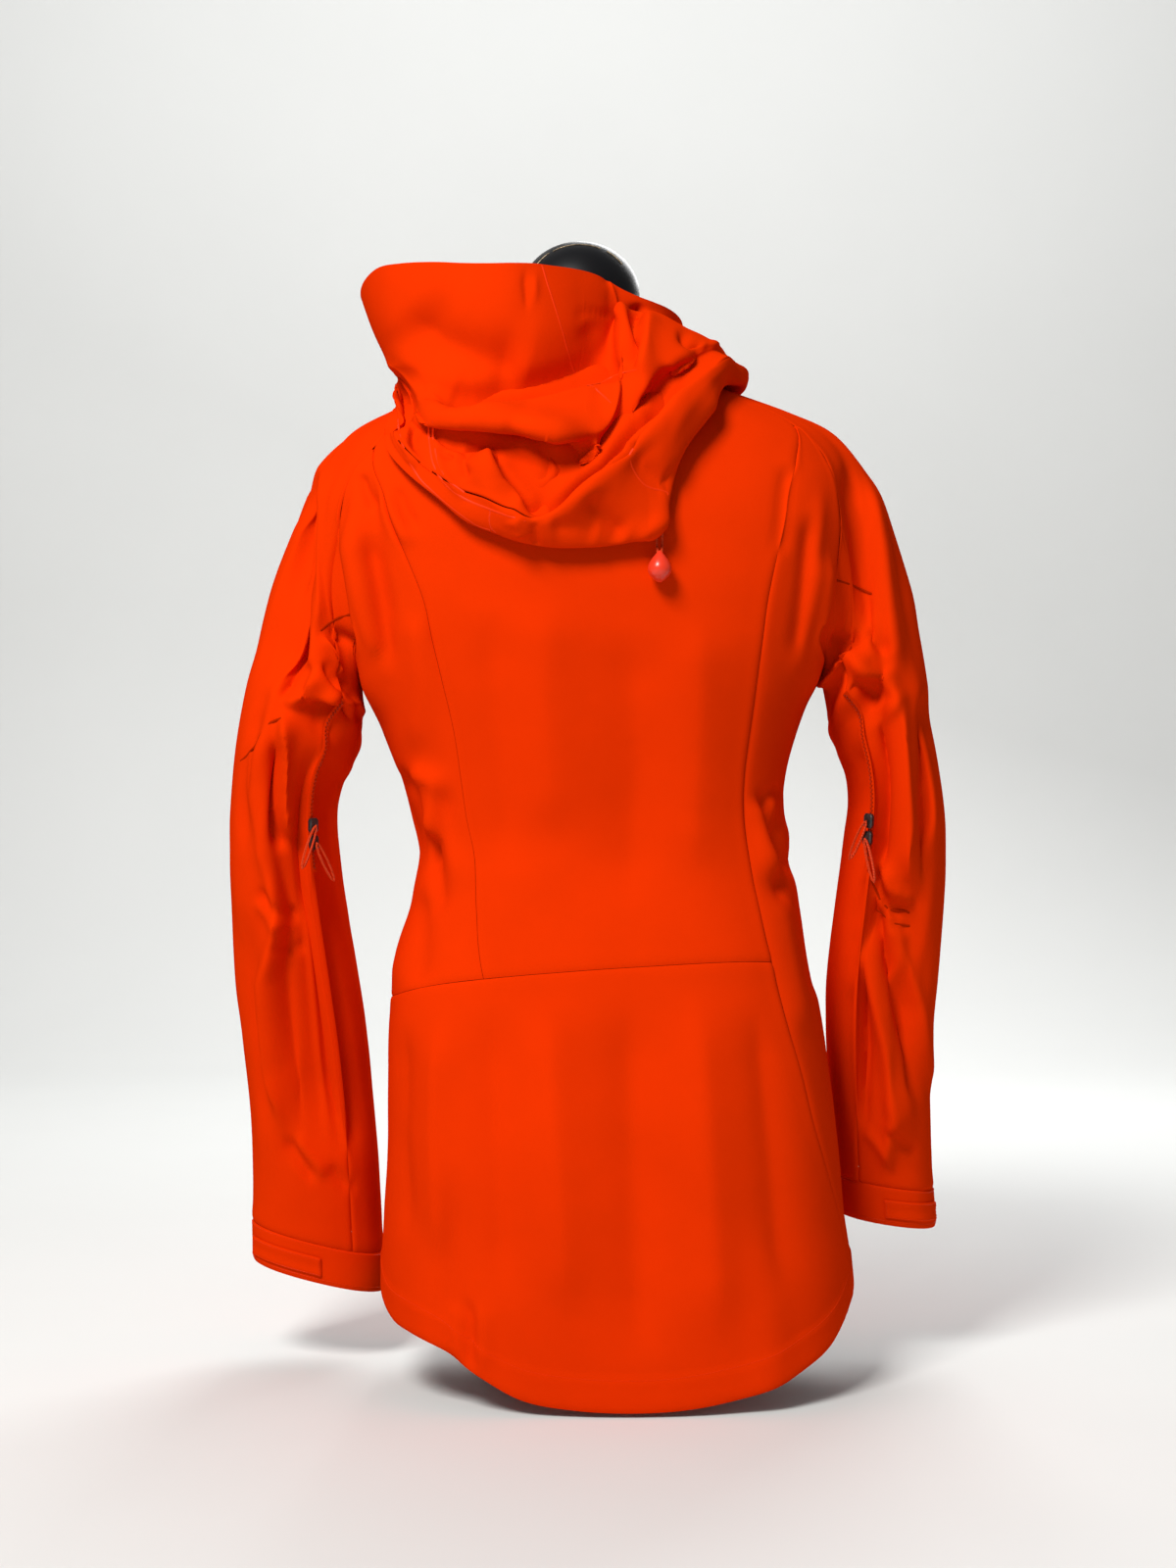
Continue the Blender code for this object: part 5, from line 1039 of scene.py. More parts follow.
def shell(outer, normals, thick, closed):
    """Points and faces of a thin wall: its outer side, its inner side and the rims between them."""
    rows, columns = outer.shape[:2]
    under = rows * columns
    corner = outer[:-1, :-1]
    over = float(np.sum(np.cross(outer[:-1, 1:] - corner, outer[1:, :-1] - corner) * normals[:-1, :-1])) < 0
    faces = grid_faces(rows, columns, closed, 0, over) + grid_faces(rows, columns, closed, under, not over)
    number = np.arange(under).reshape(rows, columns)
    rims = [(number[0], True), (number[-1], False)]
    if not closed:
        rims += [(number[:, 0], False), (number[:, -1], True)]
    for rim, flipped in rims:
        rim = rim.tolist() + (rim[:1].tolist() if closed else [])
        for a, b in zip(rim, rim[1:]):
            face = (a, b, b + under, a + under)
            faces.append(face[::-1] if flipped != over else face)
    return np.concatenate([outer.reshape(-1, 3), (outer - normals * thick).reshape(-1, 3)]), faces


def wall(name, outer, way_out, thick, finish, creases=(), depth=1.0, closed=False, sewn=(True,) * 4,
         lively=0.0003, stitched=(), held="hung", rests_on=("form_body",), slot="shell_cloth"):
    """A thin cloth wall on a fine grid, with its creases, its seams' rise and its stitches.

    sewn is for the first row, last row, first column and last column; stitched names the sewn lines.
    """
    outer = with_close_edges(outer, closed)
    way_out = with_close_edges(way_out, closed)
    rows, columns = outer.shape[:2]
    normals = facing(outer, way_out, closed)
    inside = edge_fade(rows)[:, None] * (1.0 if closed else edge_fade(columns))
    lift = (crease_lift(outer, normals, creases, depth) + ripple(outer, lively)) * inside
    lift += edge_lift(rows, sewn[:2])[:, None]
    if not closed:
        lift += edge_lift(columns, sewn[2:])[None, :]
    if "hem" in stitched:
        lift += HEM_RISE * np.clip((HEM_DEEP + HEM_PAST - run_length(outer)) / HEM_STEP, 0, 1)
    outer = outer + normals * lift[..., None]
    normals = facing(outer, way_out, closed)
    made = mesh_piece(name + "_cloth", *shell(outer, normals, thick, closed), finish, slot)
    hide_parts(name)
    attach(made, ROOT)
    lines = {"bottom": (outer[2], normals[2]), "top": (outer[-3], normals[-3]),
             "first": (outer[:, 2], normals[:, 2]), "last": (outer[:, -3], normals[:, -3])}
    if "hem" in stitched:
        lines["hem"] = hem_line(outer, normals)
    if stitched:
        stitches(name + "_stitches", [lines[which] for which in stitched], made)
    return outer, normals


def hem_line(outer, normals):
    """A line HEM_DEEP up from the hem."""
    rise = run_length(outer)
    points, ways = [], []
    for c in range(outer.shape[1]):
        r = int(np.searchsorted(rise[:, c], HEM_DEEP))
        t = (HEM_DEEP - rise[r - 1, c]) / max(rise[r, c] - rise[r - 1, c], 1e-9)
        points.append(outer[r - 1, c] * (1 - t) + outer[r, c] * t)
        ways.append(normals[r, c])
    return np.array(points), np.array(ways)


def on_path(path, reach, place):
    """The point of a path at a length along it."""
    return np.array([np.interp(place, reach, path[:, i]) for i in range(3)])


def stitches(name, lines, parent):
    """Rows of lockstitch: a small rounded bar for each stitch."""
    points, faces = [], []
    for path, ways in lines:
        reach = run_length(path)
        for k in range(int(reach[-1] / STITCH_PITCH)):
            start, end = (on_path(path, reach, (k + part) * STITCH_PITCH) for part in STITCH_ENDS)
            way = ways[min(int(np.searchsorted(reach, k * STITCH_PITCH)), len(ways) - 1)]
            side = unit(np.cross(unit(end - start), way)) * STITCH_HALF
            faces += grid_faces(len(STITCH_SECTIONS), 3, False, len(points))
            for part, high in STITCH_SECTIONS:
                middle = start + (end - start) * part
                points += [middle - side, middle + way * STITCH_HIGH * high, middle + side]
    made = mesh_piece(name, points, faces, FINISH["thread"], "shell_cloth")
    made.parent = parent
    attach(made, ROOT)


# ------------------------------------------------------------------ the body's panels
def body_panel(name, rows, edges, columns, cloth, order=1, tip=1.0, **facts):
    """A panel of the body between two edges, on a fine grid.

    edges gives the angles of both at a row, and order is -1 where they run from right to left.  tip is
    how far the last row stays from the one before, as a share.
    """
    angles, heights = [], []
    for row in rows:
        across = np.linspace(*edges(row), columns)
        high = np.array([float(row_height(a, row)) for a in across])
        if row == rows[0] == WAIST_ROW:
            high = high + SEAM
        angles.append(across)
        heights.append(high)
    places = np.array([angles, heights])[..., ::order]
    if tip < 1:
        places[:, -1] = places[:, -2] + (places[:, -1] - places[:, -2]) * tip
    by = steps_for(body(*places), GRAIN["body"])
    angles, heights = (refine(grid, *by) for grid in places)
    wall(name, body(angles, heights), body_normal(angles, heights), WALL, cloth, BODY_CREASES,
         CREASE_DEPTH["body"], **facts)


def back_edges(row):
    """The princess seams, and above their ends the armholes."""
    seams = (PRINCESS_SEAM if row <= JOIN_ROWS[side] else RAGLAN_BACK for side in (-1, 1))
    return [seam_angle(seam, row, side) for seam, side in zip(seams, (-1, 1))]


def lower_edges(row):
    """The left side seam, and the seam on the right that runs up to the princess seam."""
    return seam_angle(SIDE_SEAM, row, -1), seam_angle(SKIRT_SEAM, row, 1)


def side_edges(side, row):
    """The seam beside the back, and the side seam or the armhole."""
    inner = seam_angle(SKIRT_SEAM if row < WAIST_ROW else PRINCESS_SEAM, row, side)
    if side > 0 and row == WAIST_ROW:
        inner = max(inner, seam_angle(SKIRT_SEAM, row, side))
    outer = seam_angle(SIDE_SEAM if row < UNDERARM_ROW else RAGLAN_BACK, row, side)
    half = float(column(BODY_SECTIONS, 2, float(row_height(inner, row))))
    return inner + side * SEAM / half, outer


def front_edges(side, row):
    """The side seam or the armhole, and the zip at centre front."""
    outer = seam_angle(SIDE_SEAM if row < UNDERARM_ROW else RAGLAN_FRONT, row, side)
    inner = zip_edge(lambda angle: body(angle, row_height(angle, row)), side)
    return outer + side * SEAM / FRONT_HALF, inner


def build_body(cloth):
    body_panel("back_centre", range(WAIST_ROW, TOP_ROW + 1), back_edges, 13, cloth)
    body_panel("back_lower", range(0, WAIST_ROW + 1), lower_edges, 17, cloth, stitched=("hem",))
    for side_name, first_row, stitched in (("left", WAIST_ROW, ()), ("right", 0, ("hem",))):
        side = SIDES[side_name]
        body_panel("back_side_" + side_name, range(first_row, JOIN_ROWS[side] + 1),
                   lambda row: side_edges(side, row), 6, cloth, side, TIP, stitched=stitched)
    for side_name, beside_zip in (("left", "first"), ("right", "last")):
        side = SIDES[side_name]
        body_panel("front_" + side_name, range(0, TOP_ROW + 1), lambda row: front_edges(side, row), 9, cloth,
                   side, stitched=("hem", beside_zip))


# ------------------------------------------------------------------ collar and front zip
def build_collar(cloth):
    rows = []
    for i in range(COLLAR_STEPS + 1):
        part = np.array(i / COLLAR_STEPS)
        edges = [zip_edge(lambda angle: collar_surface(angle, part), side) for side in (-1, 1)]
        angles = np.linspace(*edges, COLLAR_COLUMNS)
        rows.append(collar_surface(angles, np.full_like(angles, part)))
    grid = np.array(rows)
    by = steps_for(grid, GRAIN["sleeve"])
    wall("collar", refine(grid, *by), refine(grid_normals(grid), *by), WALL, cloth,
         stitched=("top", "first", "last"))


def build_front_zip(tape):
    path = zip_line()
    ahead = unit(np.gradient(path, axis=0))
    out = np.cross(ahead, np.array([1.0, 0.0, 0.0]))
    out = out * np.sign(out[:, 1:2])
    grid = np.stack([path + np.array([x, 0, 0]) for x in (ZIP_HALF, 0.0, -ZIP_HALF)], axis=1)
    zip_tape("front_zip", "front_zip_teeth", grid, out, WALL, tape, ZIP_HALF)


def zip_tape(name, teeth_name, grid, out, thick, tape, half):
    """A zip's tape from three columns of points, and the coil down its middle."""
    by = steps_for(grid, GRAIN["small"])
    ways = np.repeat(out[:, None, :], 3, axis=1)
    fine, normals = wall(name, refine(grid, *by), refine(ways, *by), thick, tape, sewn=(False,) * 4,
                         lively=0.0, slot="zip_tape", held=None)
    middle = fine.shape[1] // 2
    teeth(teeth_name, fine[:, middle], normals[:, middle], half * TEETH_SHARE)


def teeth(name, path, ways, half):
    """A closed coil zip: a bar across for each turn of the coil, alternately from the left and the right."""
    reach = run_length(path)
    points, faces = [], []
    for k in range(1, int(reach[-1] / TOOTH_PITCH) - 1):
        place, beyond = (on_path(path, reach, at * TOOTH_PITCH) for at in (k, k + 0.5))
        way = ways[min(int(np.searchsorted(reach, k * TOOTH_PITCH)), len(ways) - 1)]
        ahead = unit(beyond - place)
        side = unit(np.cross(ahead, way)) * (1 if k % 2 else -1)
        base = len(points)
        for across, long, high in TOOTH_SECTIONS:
            middle = place + side * half * across
            foot, top = ahead * TOOTH_PITCH * long, way * TOOTH_HIGH * high
            points += [middle - foot, middle - foot * 0.7 + top, middle + foot * 0.7 + top, middle + foot]
        faces += grid_faces(4, 4, False, base)
        faces += [(base, base + 3, base + 2, base + 1), (base + 12, base + 13, base + 14, base + 15)]
    made = mesh_piece(name, points, faces, FINISH["coil"], "zip_tape")
    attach(made, ROOT)


# ------------------------------------------------------------------ sleeves
def build_sleeve(side_name, cloth, tape):
    grid, normals = sleeve_grid(side_name)
    by = steps_for(grid, GRAIN["sleeve"])
    fine, fine_out = refine(grid, *by, closed=True), refine(normals, *by, closed=True)
    turn = fine.shape[1]
    start, stop = UNDER_FROM * by[1], UNDER_TO * by[1]
    upper = [c % turn for c in range(stop, start + turn + 1)]
    under = list(range(start, stop + 1))
    creases = (SLEEVE_CREASES[side_name], CREASE_DEPTH["sleeve"])
    over = wall("sleeve_" + side_name, fine[:, upper], fine_out[:, upper], WALL, cloth, *creases)
    strip = shrink_edge(shrink_edge(fine[:, under], 0, 1, SEAM), -1, -2, SEAM)
    below = wall("underarm_" + side_name, strip, fine_out[:, under], WALL, cloth, *creases)
    # the sleeves' seam welts carry painted seam shadow, the cloth's colour at half
    for number, line in enumerate(SLEEVE_SEAMS[side_name]):
        welt("sleeve_seam_" + side_name + "_" + str(number + 1), line, (over, below), FINISH["seam"])
    build_cuff(side_name, grid, normals, cloth, creases)
    build_pit_zip(side_name, grid, normals, tape)


def build_cuff(side_name, grid, normals, cloth, creases):
    end, before = grid[-1], grid[-3]
    ahead = unit((end - before).mean(axis=0))
    rows = []
    for part in CUFF_PARTS:
        out = normals[-1] * CUFF_STANDS_OUT * min(1.0, part * 4)
        rows.append(end + ahead * (SEAM + part * CUFF_HIGH) + out)
    cuff = np.array(rows)
    ways = np.repeat(normals[-1:], 3, axis=0)
    wall("cuff_" + side_name, refine(cuff, *CUFF_STEPS, closed=True), refine(ways, *CUFF_STEPS, closed=True),
         WALL, cloth, *creases, closed=True, stitched=("bottom", "top"))
    columns = list(TAB_COLUMNS)
    low, high = cuff[1][columns], cuff[2][columns]
    tab = np.array([low, low + (high - low) * TAB_SHARE]) + normals[-1][columns] * (SEAM + WALL)
    ways = np.repeat(normals[-1:, columns], 2, axis=0)
    by = steps_for(tab, GRAIN["small"])
    wall("cuff_tab_" + side_name, refine(tab, *by), refine(ways, *by), WALL, cloth, lively=0.0001,
         stitched=("bottom", "top", "first", "last"))


def build_pit_zip(side_name, grid, normals, tape):
    """The zip's tape, from the sleeve's points moved out, and its coil."""
    rows = slice(SHOULDER_ROWS, SHOULDER_ROWS + PIT_ZIP_ROWS)
    seam, out = grid[rows, UNDER_TO], normals[rows, UNDER_TO]
    columns = []
    for beside in (UNDER_TO - 1, UNDER_TO, UNDER_TO + 1):
        place = seam + unit(grid[rows, beside] - seam) * PIT_ZIP_HALF
        columns.append(place + normals[rows, beside] * PIT_ZIP_LIFT * 0.3 + out * PIT_ZIP_LIFT * 0.7)
    columns[1] = seam + out * PIT_ZIP_LIFT
    zip_tape("pit_zip_" + side_name, "pit_zip_teeth_" + side_name, np.stack(columns, axis=1), out,
             PIT_ZIP_WALL, tape, PIT_ZIP_HALF)


# ------------------------------------------------------------------ the hood
def build_hood(cloth):
    collar = collar_samples()
    grid = np.stack([hood_point(a, hood_profile(a, collar)) for a in HOOD_ANGLES], axis=1)
    by = steps_for(grid, GRAIN["hood"])
    fine = refine(grid, *by)
    out = grid_normals(fine) * -1
    fine = fine + out * crease_lift(fine, out, HOOD_CREASES, CREASE_DEPTH["hood"])[..., None]
    for x, z, reach, move in HOOD_PULLS:
        fine[..., 0] += move * np.exp(-((fine[..., 0] - x) ** 2 + (fine[..., 2] - z) ** 2) / reach ** 2)
    out = grid_normals(fine) * -1
    tucked = fine + out * crease_lift(fine, out, HOOD_SLOT, CREASE_DEPTH["hood"])[..., None]
    lip, split = LIP_ROW * by[0], HOOD_SPLIT * by[1]
    back = fine[lip:].copy()
    back[0] += unit(back[1] - back[0]) * 3 * SEAM
    parts = (
        # name, points, ways out, sewn
        ("hood_left", tucked[:lip + 1, :split + 1], out[:lip + 1, :split + 1], (False, True, True, False)),
        ("hood_right", tucked[:lip + 1, split:], out[:lip + 1, split:], (False, True, False, True)),
        ("hood_back", back, out[lip:], (True,) * 4),
    )
    surfaces = []
    for name, points, ways, sewn in parts:
        surfaces.append(wall(name, points, ways, HOOD_WALL, cloth, sewn=sewn, held="folded",
                             rests_on=("collar", "form_body"), lively=0.0002))
    for number, line in enumerate(HOOD_SEAMS):
        welt("hood_seam_" + str(number + 1), line, surfaces, FINISH["thread"])


def welt(name, line, surfaces, finish):
    """A fine raised seam along a line of the picture, laid on the nearest cloth in view."""
    points = np.concatenate([points.reshape(-1, 3) for points, ways in surfaces])
    ways = np.concatenate([ways.reshape(-1, 3) for points, ways in surfaces])
    seen = ways[:, 1] < -0.05
    points, ways = points[seen], ways[seen]
    across, down = in_picture(points)
    path, outs = [], []
    line = np.array(line, float)
    reach = run_length(line)
    for place in np.arange(0, reach[-1], WELT_STEP):
        u, v = (float(smooth(place, reach, line[:, i])) for i in (0, 1))
        off = np.hypot(across - u, down - v)
        near = np.argsort(off)[:WELT_POINTS]
        front = near[points[near, 1] < points[near, 1].min() + WELT_LAYER]
        share = 1 / (off[front] + 0.3) ** 2
        path.append((points[front] * share[:, None]).sum(axis=0) / share.sum())
        outs.append(unit((ways[front] * share[:, None]).sum(axis=0)))
    path, outs = np.array(path), np.array(outs)
    for _ in range(3):
        path[1:-1] = path[1:-1] / 2 + (path[:-2] + path[2:]) / 4
        outs[1:-1] = unit(outs[1:-1] / 2 + (outs[:-2] + outs[2:]) / 4)
    side = unit(np.cross(unit(np.gradient(path, axis=0)), outs))
    rows = [path + side * WELT_HALF * beside + outs * WELT_HIGH * high for beside, high in WELT_SECTION]
    faces = grid_faces(len(path), len(rows), False)
    made = mesh_piece(name, np.stack(rows, axis=1).reshape(-1, 3), faces, finish, "shell_cloth")
    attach(made, ROOT)


# ------------------------------------------------------------------ turned and round pieces
def turned(name, node, profile, centre, finish, slot, sides):
    """A piece turned about an upright axis from its profile of radius and height."""
    angles = 2 * math.pi * np.arange(sides) / sides
    rings = [np.stack([centre[0] + radius * np.cos(angles), centre[1] + radius * np.sin(angles),
                       np.full(sides, height)], -1) for radius, height in profile]
    tube_piece(name, np.array(rings), finish, slot, node, sharp=40)


def tube_piece(name, rings, finish, slot, node=None, sharp=60):
    """A piece from rings of points, one after another, with a flat end on the first and the last."""
    count, sides = rings.shape[:2]
    faces = grid_faces(count, sides, True)
    faces.append(tuple(reversed(range(sides))))
    faces.append(tuple(range((count - 1) * sides, count * sides)))
    made = mesh_piece(name, rings.reshape(-1, 3), faces, finish, slot, sharp)
    if node:
        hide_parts(node)
    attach(made, ROOT)


def build_toggle(red, cord):
    """The teardrop toggle and its two strands."""
    middle, half = (float(column(BODY_SECTIONS, i, TOGGLE_HEIGHT)) for i in (1, 2))
    angle = math.asin((TOGGLE_X - middle) / half) * 0.93
    seat = body(np.array(angle), np.array(TOGGLE_HEIGHT)) - np.array([0.0, TOGGLE_OFF, 0.0])
    centre = (float(seat[0]), float(seat[1]))
    profile = []
    for i in range(0, 33):     # a teardrop, wide below its middle, with a groove near its foot
        t = 0.02 + 0.96 * i / 32
        radius = TOGGLE_WIDE * math.sin(math.pi * t) ** 0.8 * (1.12 - 0.55 * t)
        groove = TOGGLE_GROOVE * math.exp(-((t - 0.16) / 0.02) ** 2)
        profile.append((radius - groove, TOGGLE_HEIGHT + TOGGLE_LONG * (t - 0.5)))
    turned("hood_toggle_teardrop", "hood_toggle", profile, centre, red, "toggle_gloss", sides=48)
    top = TOGGLE_HEIGHT + TOGGLE_LONG * 0.4 + SEAM
    for name, shift in (("hood_cord_1", -0.0014), ("hood_cord_2", 0.0014)):
        path = []
        for t, rise, inwards in STRAND:
            path.append((centre[0] + shift * (1 + 0.5 * t), centre[1] + inwards, top + rise))
        round_cord(name + "_braid", spline(np.array(path), 6), STRAND_RADIUS, cord, "cord_trim", name)


def round_cord(name, path, radius, finish, slot, node=None, sides=12):
    """A round cord along a path."""
    path = np.asarray(path, float)
    ahead = unit(np.gradient(path, axis=0))
    across = unit(np.cross(ahead, np.array([0.31, 0.17, 0.93])))
    other = np.cross(ahead, across)
    angles = [2 * math.pi * i / sides for i in range(sides)]
    rings = [path + radius * (math.cos(a) * across + math.sin(a) * other) for a in angles]
    tube_piece(name, np.stack(rings, axis=1), finish, slot, node)


def build_form(cover):
    """The torso under the jacket, from the same rings as its solid, with three times the points round it."""
    sides = 32
    angles = 2 * math.pi * np.arange(sides) / sides
    rings = []
    for height in FORM_HEIGHTS:
        level = np.full(sides, height)
        seat = math.exp(-((height - SEAT_HEIGHT) / 0.030) ** 2)
        seat = seat * np.clip((np.abs(np.cos(angles)) - 0.5) / 0.2, 0, 1)
        gap = FORM_GAP + (SEAT_GAP - FORM_GAP) * seat
        ring = plain_body(angles, level) - body_normal(angles, level) * (WALL + gap)[:, None]
        over = np.abs(ring[:, 0]) - (FORM_HALF - FORM_EASE)
        eased = FORM_HALF - FORM_EASE * np.exp(-np.maximum(over, 0) / FORM_EASE)
        ring[:, 0] = np.where(over > 0, np.sign(ring[:, 0]) * eased, ring[:, 0])
        rings.append(ring)
    rings[0][:, 2] = FORM_FLOOR
    shoulder = rings[-1]
    for part, height in FORM_NECK:
        neck = np.stack([NECK[0] + NECK_RADIUS * np.sin(angles), NECK[1] - NECK_RADIUS * np.cos(angles),
                         np.full(sides, height)], -1)
        rings.append(shoulder + (neck - shoulder) * part)
    fine = np.swapaxes(spline(np.swapaxes(np.array(rings), 0, 1), 3, closed=True), 0, 1)
    tube_piece("form_body_cover", fine, cover, "form_cover", "form_body")


def build_cap(gloss, worn):
    """The domed neck cap, and the thin golden lines of painted rim reflection a little way inside its
    outline.
    """
    radius, spring = NECK_RADIUS + 0.0004, CAP_TOP - CAP_DOME
    profile = [(NECK_RADIUS, CAP_LOW), (radius, spring)]
    for i in range(1, 30):
        a = math.pi / 2 * i / 29.6
        profile.append((radius * math.cos(a), spring + CAP_DOME * math.sin(a)))
    turned("form_neck_cap_dome", "form_neck_cap", profile, NECK, gloss, "form_gloss", sides=96)
    # golden lines of painted rim reflection, following the cap's outline as the camera sees it
    for number, (start, end, inset) in enumerate(RIM_REFLECTION_LINES):
        tilt = math.radians(inset)
        path = []
        for i in range(60):
            a = math.radians(start + (end - start) * i / 59)
            path.append((NECK[0] + radius * math.cos(tilt) * math.cos(a),
                         NECK[1] - radius * math.sin(tilt) - 0.0002,
                         spring + CAP_DOME * math.cos(tilt) * math.sin(a)))
        round_cord("form_cap_worn_line_" + str(number + 1), path, RIM_REFLECTION_RADIUS, worn, "form_gloss", sides=6)


# ------------------------------------------------------------------ materials
class Shader:
    """A Principled material and the few nodes that its kind needs."""

    def __init__(self, name, colour, roughness, metallic=0.0, sockets=(), mottle=None, shine=None, bumps=()):
        """mottle is a texture and two colours, shine a texture and two values of the roughness.

        Each bump is a texture, a strength and a depth; they stack.
        """
        self.made = bpy.data.materials.new(name)
        self.made.use_nodes = True
        self.nodes = self.made.node_tree.nodes
        self.links = self.made.node_tree.links
        self.shader = self.nodes["Principled BSDF"]
        self.place = self.nodes.new("ShaderNodeTexCoord").outputs["Object"]
        values = {"Base Color": (*colour, 1.0), "Roughness": roughness, "Metallic": metallic}
        for socket, value in {**values, **dict(sockets)}.items():
            self.shader.inputs[socket].default_value = value
        if mottle:
            self.mottle(self.texture(*mottle[0]), *mottle[1:])
        if shine:
            self.shine(self.texture(*shine[0]), *shine[1:])
        last = None
        for texture, strength, depth in bumps:
            last = self.bump(self.texture(*texture), strength, depth, last)
        if last:
            self.links.new(last, self.shader.inputs["Normal"])

    def node(self, kind, values, links):
        made = self.nodes.new("ShaderNode" + kind)
        for socket, value in values.items():
            made.inputs[socket].default_value = value
        for socket, output in links.items():
            self.links.new(output, made.inputs[socket])
        return made

    def texture(self, scale, kind=3.0, roughness=0.55):
        """Noise of a detail, or, where kind is a direction, waves across it."""
        if isinstance(kind, str):
            made = self.node("TexWave", {"Scale": scale}, {"Vector": self.place})
            made.bands_direction = kind
        else:
            values = {"Scale": scale, "Detail": kind, "Roughness": roughness}
            made = self.node("TexNoise", values, {"Vector": self.place})
        return made.outputs["Fac"]

    def mottle(self, fac, one, two):
        made = self.node("ValToRGB", {}, {"Fac": fac})
        for end, position, colour in zip(made.color_ramp.elements, (0.3, 0.7), (one, two)):
            end.position = position
            end.color = (*colour, 1.0)
        self.links.new(made.outputs["Color"], self.shader.inputs["Base Color"])

    def shine(self, fac, low, high):
        values = {"To Min": low, "To Max": high, "From Min": 0.25, "From Max": 0.75}
        made = self.node("MapRange", values, {"Value": fac})
        self.links.new(made.outputs["Result"], self.shader.inputs["Roughness"])

    def bump(self, fac, strength, depth, under):
        links = {"Height": fac, "Normal": under} if under else {"Height": fac}
        return self.node("Bump", {"Strength": strength, "Distance": depth}, links).outputs["Normal"]


def scaled(colour, by):
    return tuple(min(1.0, c * by) for c in colour)


def woven(name, colour, roughness, weave):
    """The facts of a woven cloth, with the pitch of its weave."""
    return dict(
        name=name, colour=colour, roughness=roughness, sockets={"Specular IOR Level": 0.0},
        mottle=((9.0, 4.0), scaled(colour, 0.94), scaled(colour, 1.05)),
        shine=((55.0, 3.0), roughness - 0.05, roughness + 0.06),
        bumps=(((38.0, 4.0, 0.6), 0.22, 0.0012), ((420.0, 2.0), 0.18, 0.0003),
               ((weave, "X"), 0.10, 0.00012), ((weave, "Z"), 0.10, 0.00012)))


# What each finish is made from.  A texture is a scale, with a detail and a roughness, or a direction.
FINISHES = {
    "cloth": woven("shell_cloth_woven", CLOTH_COLOUR, 0.52, WEAVE_SCALE),
    "tape": woven("zip_tape_coated", scaled(CLOTH_COLOUR, 0.88), 0.42, WEAVE_SCALE * 0.6),
    "thread": dict(name="thread", colour=scaled(CLOTH_COLOUR, 1.08), roughness=0.5,
                   sockets={"Specular IOR Level": 0.1}),
    # painted seam shadow: the cloth's colour at half, for the sleeves' raised seam lines
    "seam": dict(name="seam_shadow", colour=scaled(CLOTH_COLOUR, 0.5), roughness=0.7,
                 sockets={"Specular IOR Level": 0.0}),
    "cord": dict(name="cord_braid", colour=CORD_COLOUR, roughness=0.6, sockets={"Specular IOR Level": 0.15},
                 mottle=((900.0, 2.0), scaled(CORD_COLOUR, 0.75), scaled(CORD_COLOUR, 1.15)),
                 bumps=(((330.0, "DIAGONAL"), 0.8, 0.0004), ((1500.0,), 0.3, 0.0002))),
    "coil": dict(name="coil", colour=scaled(CLOTH_COLOUR, 0.5), roughness=0.35,
                 sockets={"Specular IOR Level": 0.2}, shine=((300.0,), 0.28, 0.42)),
    "metal": dict(name="slider_paint", colour=(0.05, 0.045, 0.045), roughness=0.32, metallic=0.75,
                  mottle=((260.0, 4.0), (0.03, 0.028, 0.028), (0.09, 0.08, 0.078)),
                  shine=((500.0,), 0.24, 0.44), bumps=(((700.0,), 0.2, 0.0002),)),
    "red": dict(name="toggle_moulding", colour=(0.72, 0.035, 0.012), roughness=0.3,
                sockets={"Specular IOR Level": 0.35, "Coat Weight": 0.15, "Coat Roughness": 0.12},
                mottle=((60.0,), (0.66, 0.030, 0.010), (0.76, 0.042, 0.014)),
                bumps=(((220.0,), 0.06, 0.0003),)),
    "cover": dict(name="form_jersey", colour=(0.012, 0.012, 0.013), roughness=0.85,
                  sockets={"Sheen Weight": 0.15},
                  mottle=((30.0,), (0.010, 0.010, 0.011), (0.016, 0.016, 0.017)),
                  bumps=(((420.0, "X"), 0.3, 0.0003), ((420.0, "Z"), 0.3, 0.0003))),
    "gloss": dict(name="form_lacquer", colour=(0.005, 0.005, 0.006), roughness=0.4,
                  sockets={"Specular IOR Level": 0.18}, shine=((26.0, 4.0), 0.34, 0.5),
                  bumps=(((90.0,), 0.05, 0.0005),)),
    # painted rim reflection: gold mottled with near black, for the lines on the cap
    "worn": dict(name="worn_edge", colour=(0.42, 0.31, 0.17), roughness=0.45, metallic=0.4,
                 mottle=((240.0, 5.0, 0.7), (0.012, 0.011, 0.010), (0.55, 0.42, 0.26))),
    "steel": dict(name="pole_brushed", colour=(0.50, 0.50, 0.50), roughness=0.3, metallic=1.0,
                  shine=((180.0,), 0.22, 0.38), bumps=(((300.0, "Z"), 0.08, 0.0002),)),
    "floor": dict(name="floor_paint", colour=FLOOR_COLOUR, roughness=0.75,
                  mottle=((2.0,), scaled(FLOOR_COLOUR, 0.985), scaled(FLOOR_COLOUR, 1.01))),
}


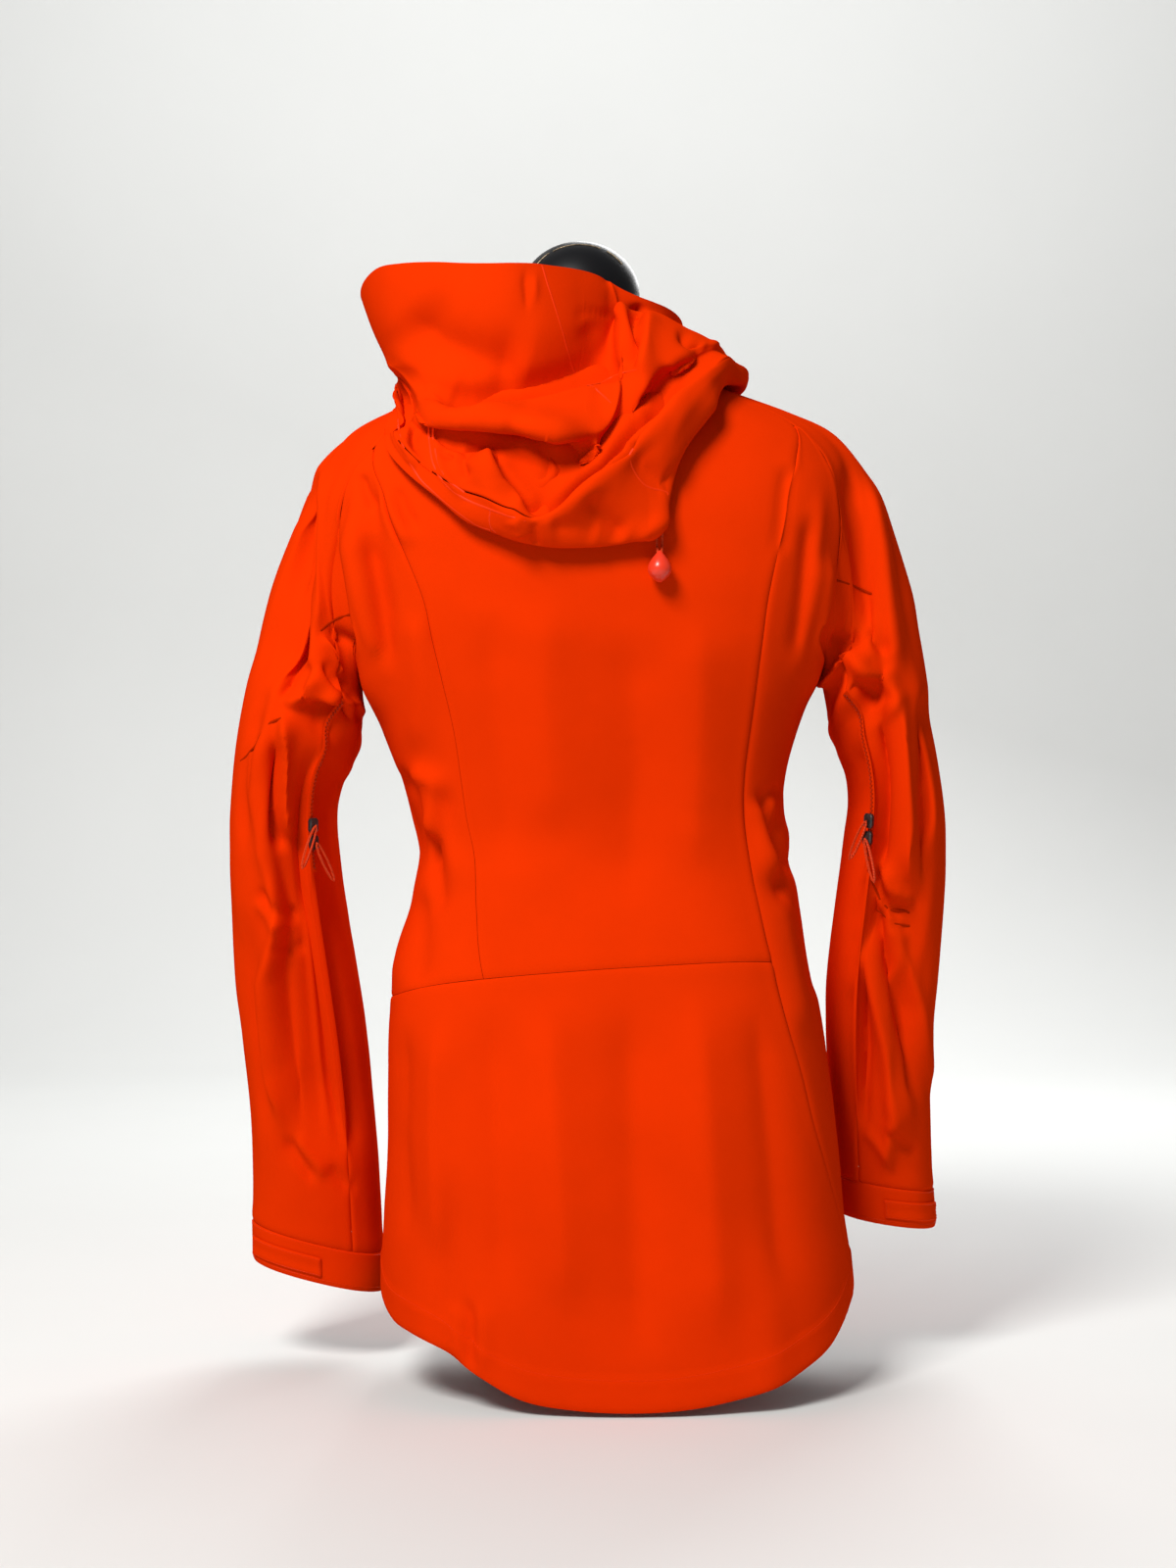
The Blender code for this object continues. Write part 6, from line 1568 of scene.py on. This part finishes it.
# ------------------------------------------------------------------ light, floor and camera
def area_light(name, place, aim, size, watts, colour):
    data = bpy.data.lights.new(name, "AREA")
    data.shape = "RECTANGLE"
    data.size, data.size_y = size
    data.energy = watts
    data.color = colour
    made = bpy.data.objects.new(name, data)
    made.location = place
    x, y, z = np.array(aim) - np.array(place)
    made.rotation_euler = (math.atan2(math.hypot(x, y), -z), 0.0, math.atan2(-x, y))
    bpy.context.collection.objects.link(made)


def build_stage():
    line = [(-FLOOR_HALF, 0.0), (COVE_PLACE - COVE_RADIUS, 0.0)]
    for i in range(1, 13):
        a = math.pi / 2 * i / 12
        line.append((COVE_PLACE - COVE_RADIUS * (1 - math.sin(a)), COVE_RADIUS * (1 - math.cos(a))))
    line.append((COVE_PLACE, COVE_HIGH))
    points = [(x, y, z) for y, z in line for x in (-FLOOR_HALF, FLOOR_HALF)]
    faces = [(2 * i, 2 * i + 1, 2 * i + 3, 2 * i + 2) for i in range(len(line) - 1)]
    mesh = bpy.data.meshes.new("floor")
    mesh.from_pydata(points, [], faces)
    mesh.shade_smooth()
    mesh.materials.append(FINISH["floor"])
    floor = bpy.data.objects.new("floor", mesh)
    bpy.context.collection.objects.link(floor)
    for light in LIGHTS:
        area_light(*light)
    world = bpy.data.worlds.new("studio")
    world.use_nodes = True
    background = world.node_tree.nodes["Background"]
    background.inputs["Color"].default_value = (*WORLD_COLOUR, 1.0)
    background.inputs["Strength"].default_value = WORLD_STRENGTH
    bpy.context.scene.world = world
    bpy.context.scene.view_settings.view_transform = "Standard"


def build_camera():
    data = bpy.data.cameras.new("camera")
    data.sensor_fit = "VERTICAL"
    data.sensor_height = 36.0
    data.lens = LENS
    camera = bpy.data.objects.new("camera", data)
    camera.location = CAMERA_PLACE
    camera.rotation_euler = (math.pi / 2, 0.0, 0.0)
    bpy.context.collection.objects.link(camera)
    bpy.context.scene.camera = camera


build_camera()
FINISH = {key: Shader(**facts).made for key, facts in FINISHES.items()}
build_body(FINISH["cloth"])
build_collar(FINISH["cloth"])
build_front_zip(FINISH["tape"])
for side_name in SIDES:
    build_sleeve(side_name, FINISH["cloth"], FINISH["tape"])
build_hood(FINISH["cloth"])
build_toggle(FINISH["red"], FINISH["cord"])
build_form(FINISH["cover"])
build_cap(FINISH["gloss"], FINISH["worn"])
for node, finish in CARRIED.items():
    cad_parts[node].data.materials.clear()
    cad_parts[node].data.materials.append(FINISH[finish])
build_stage()
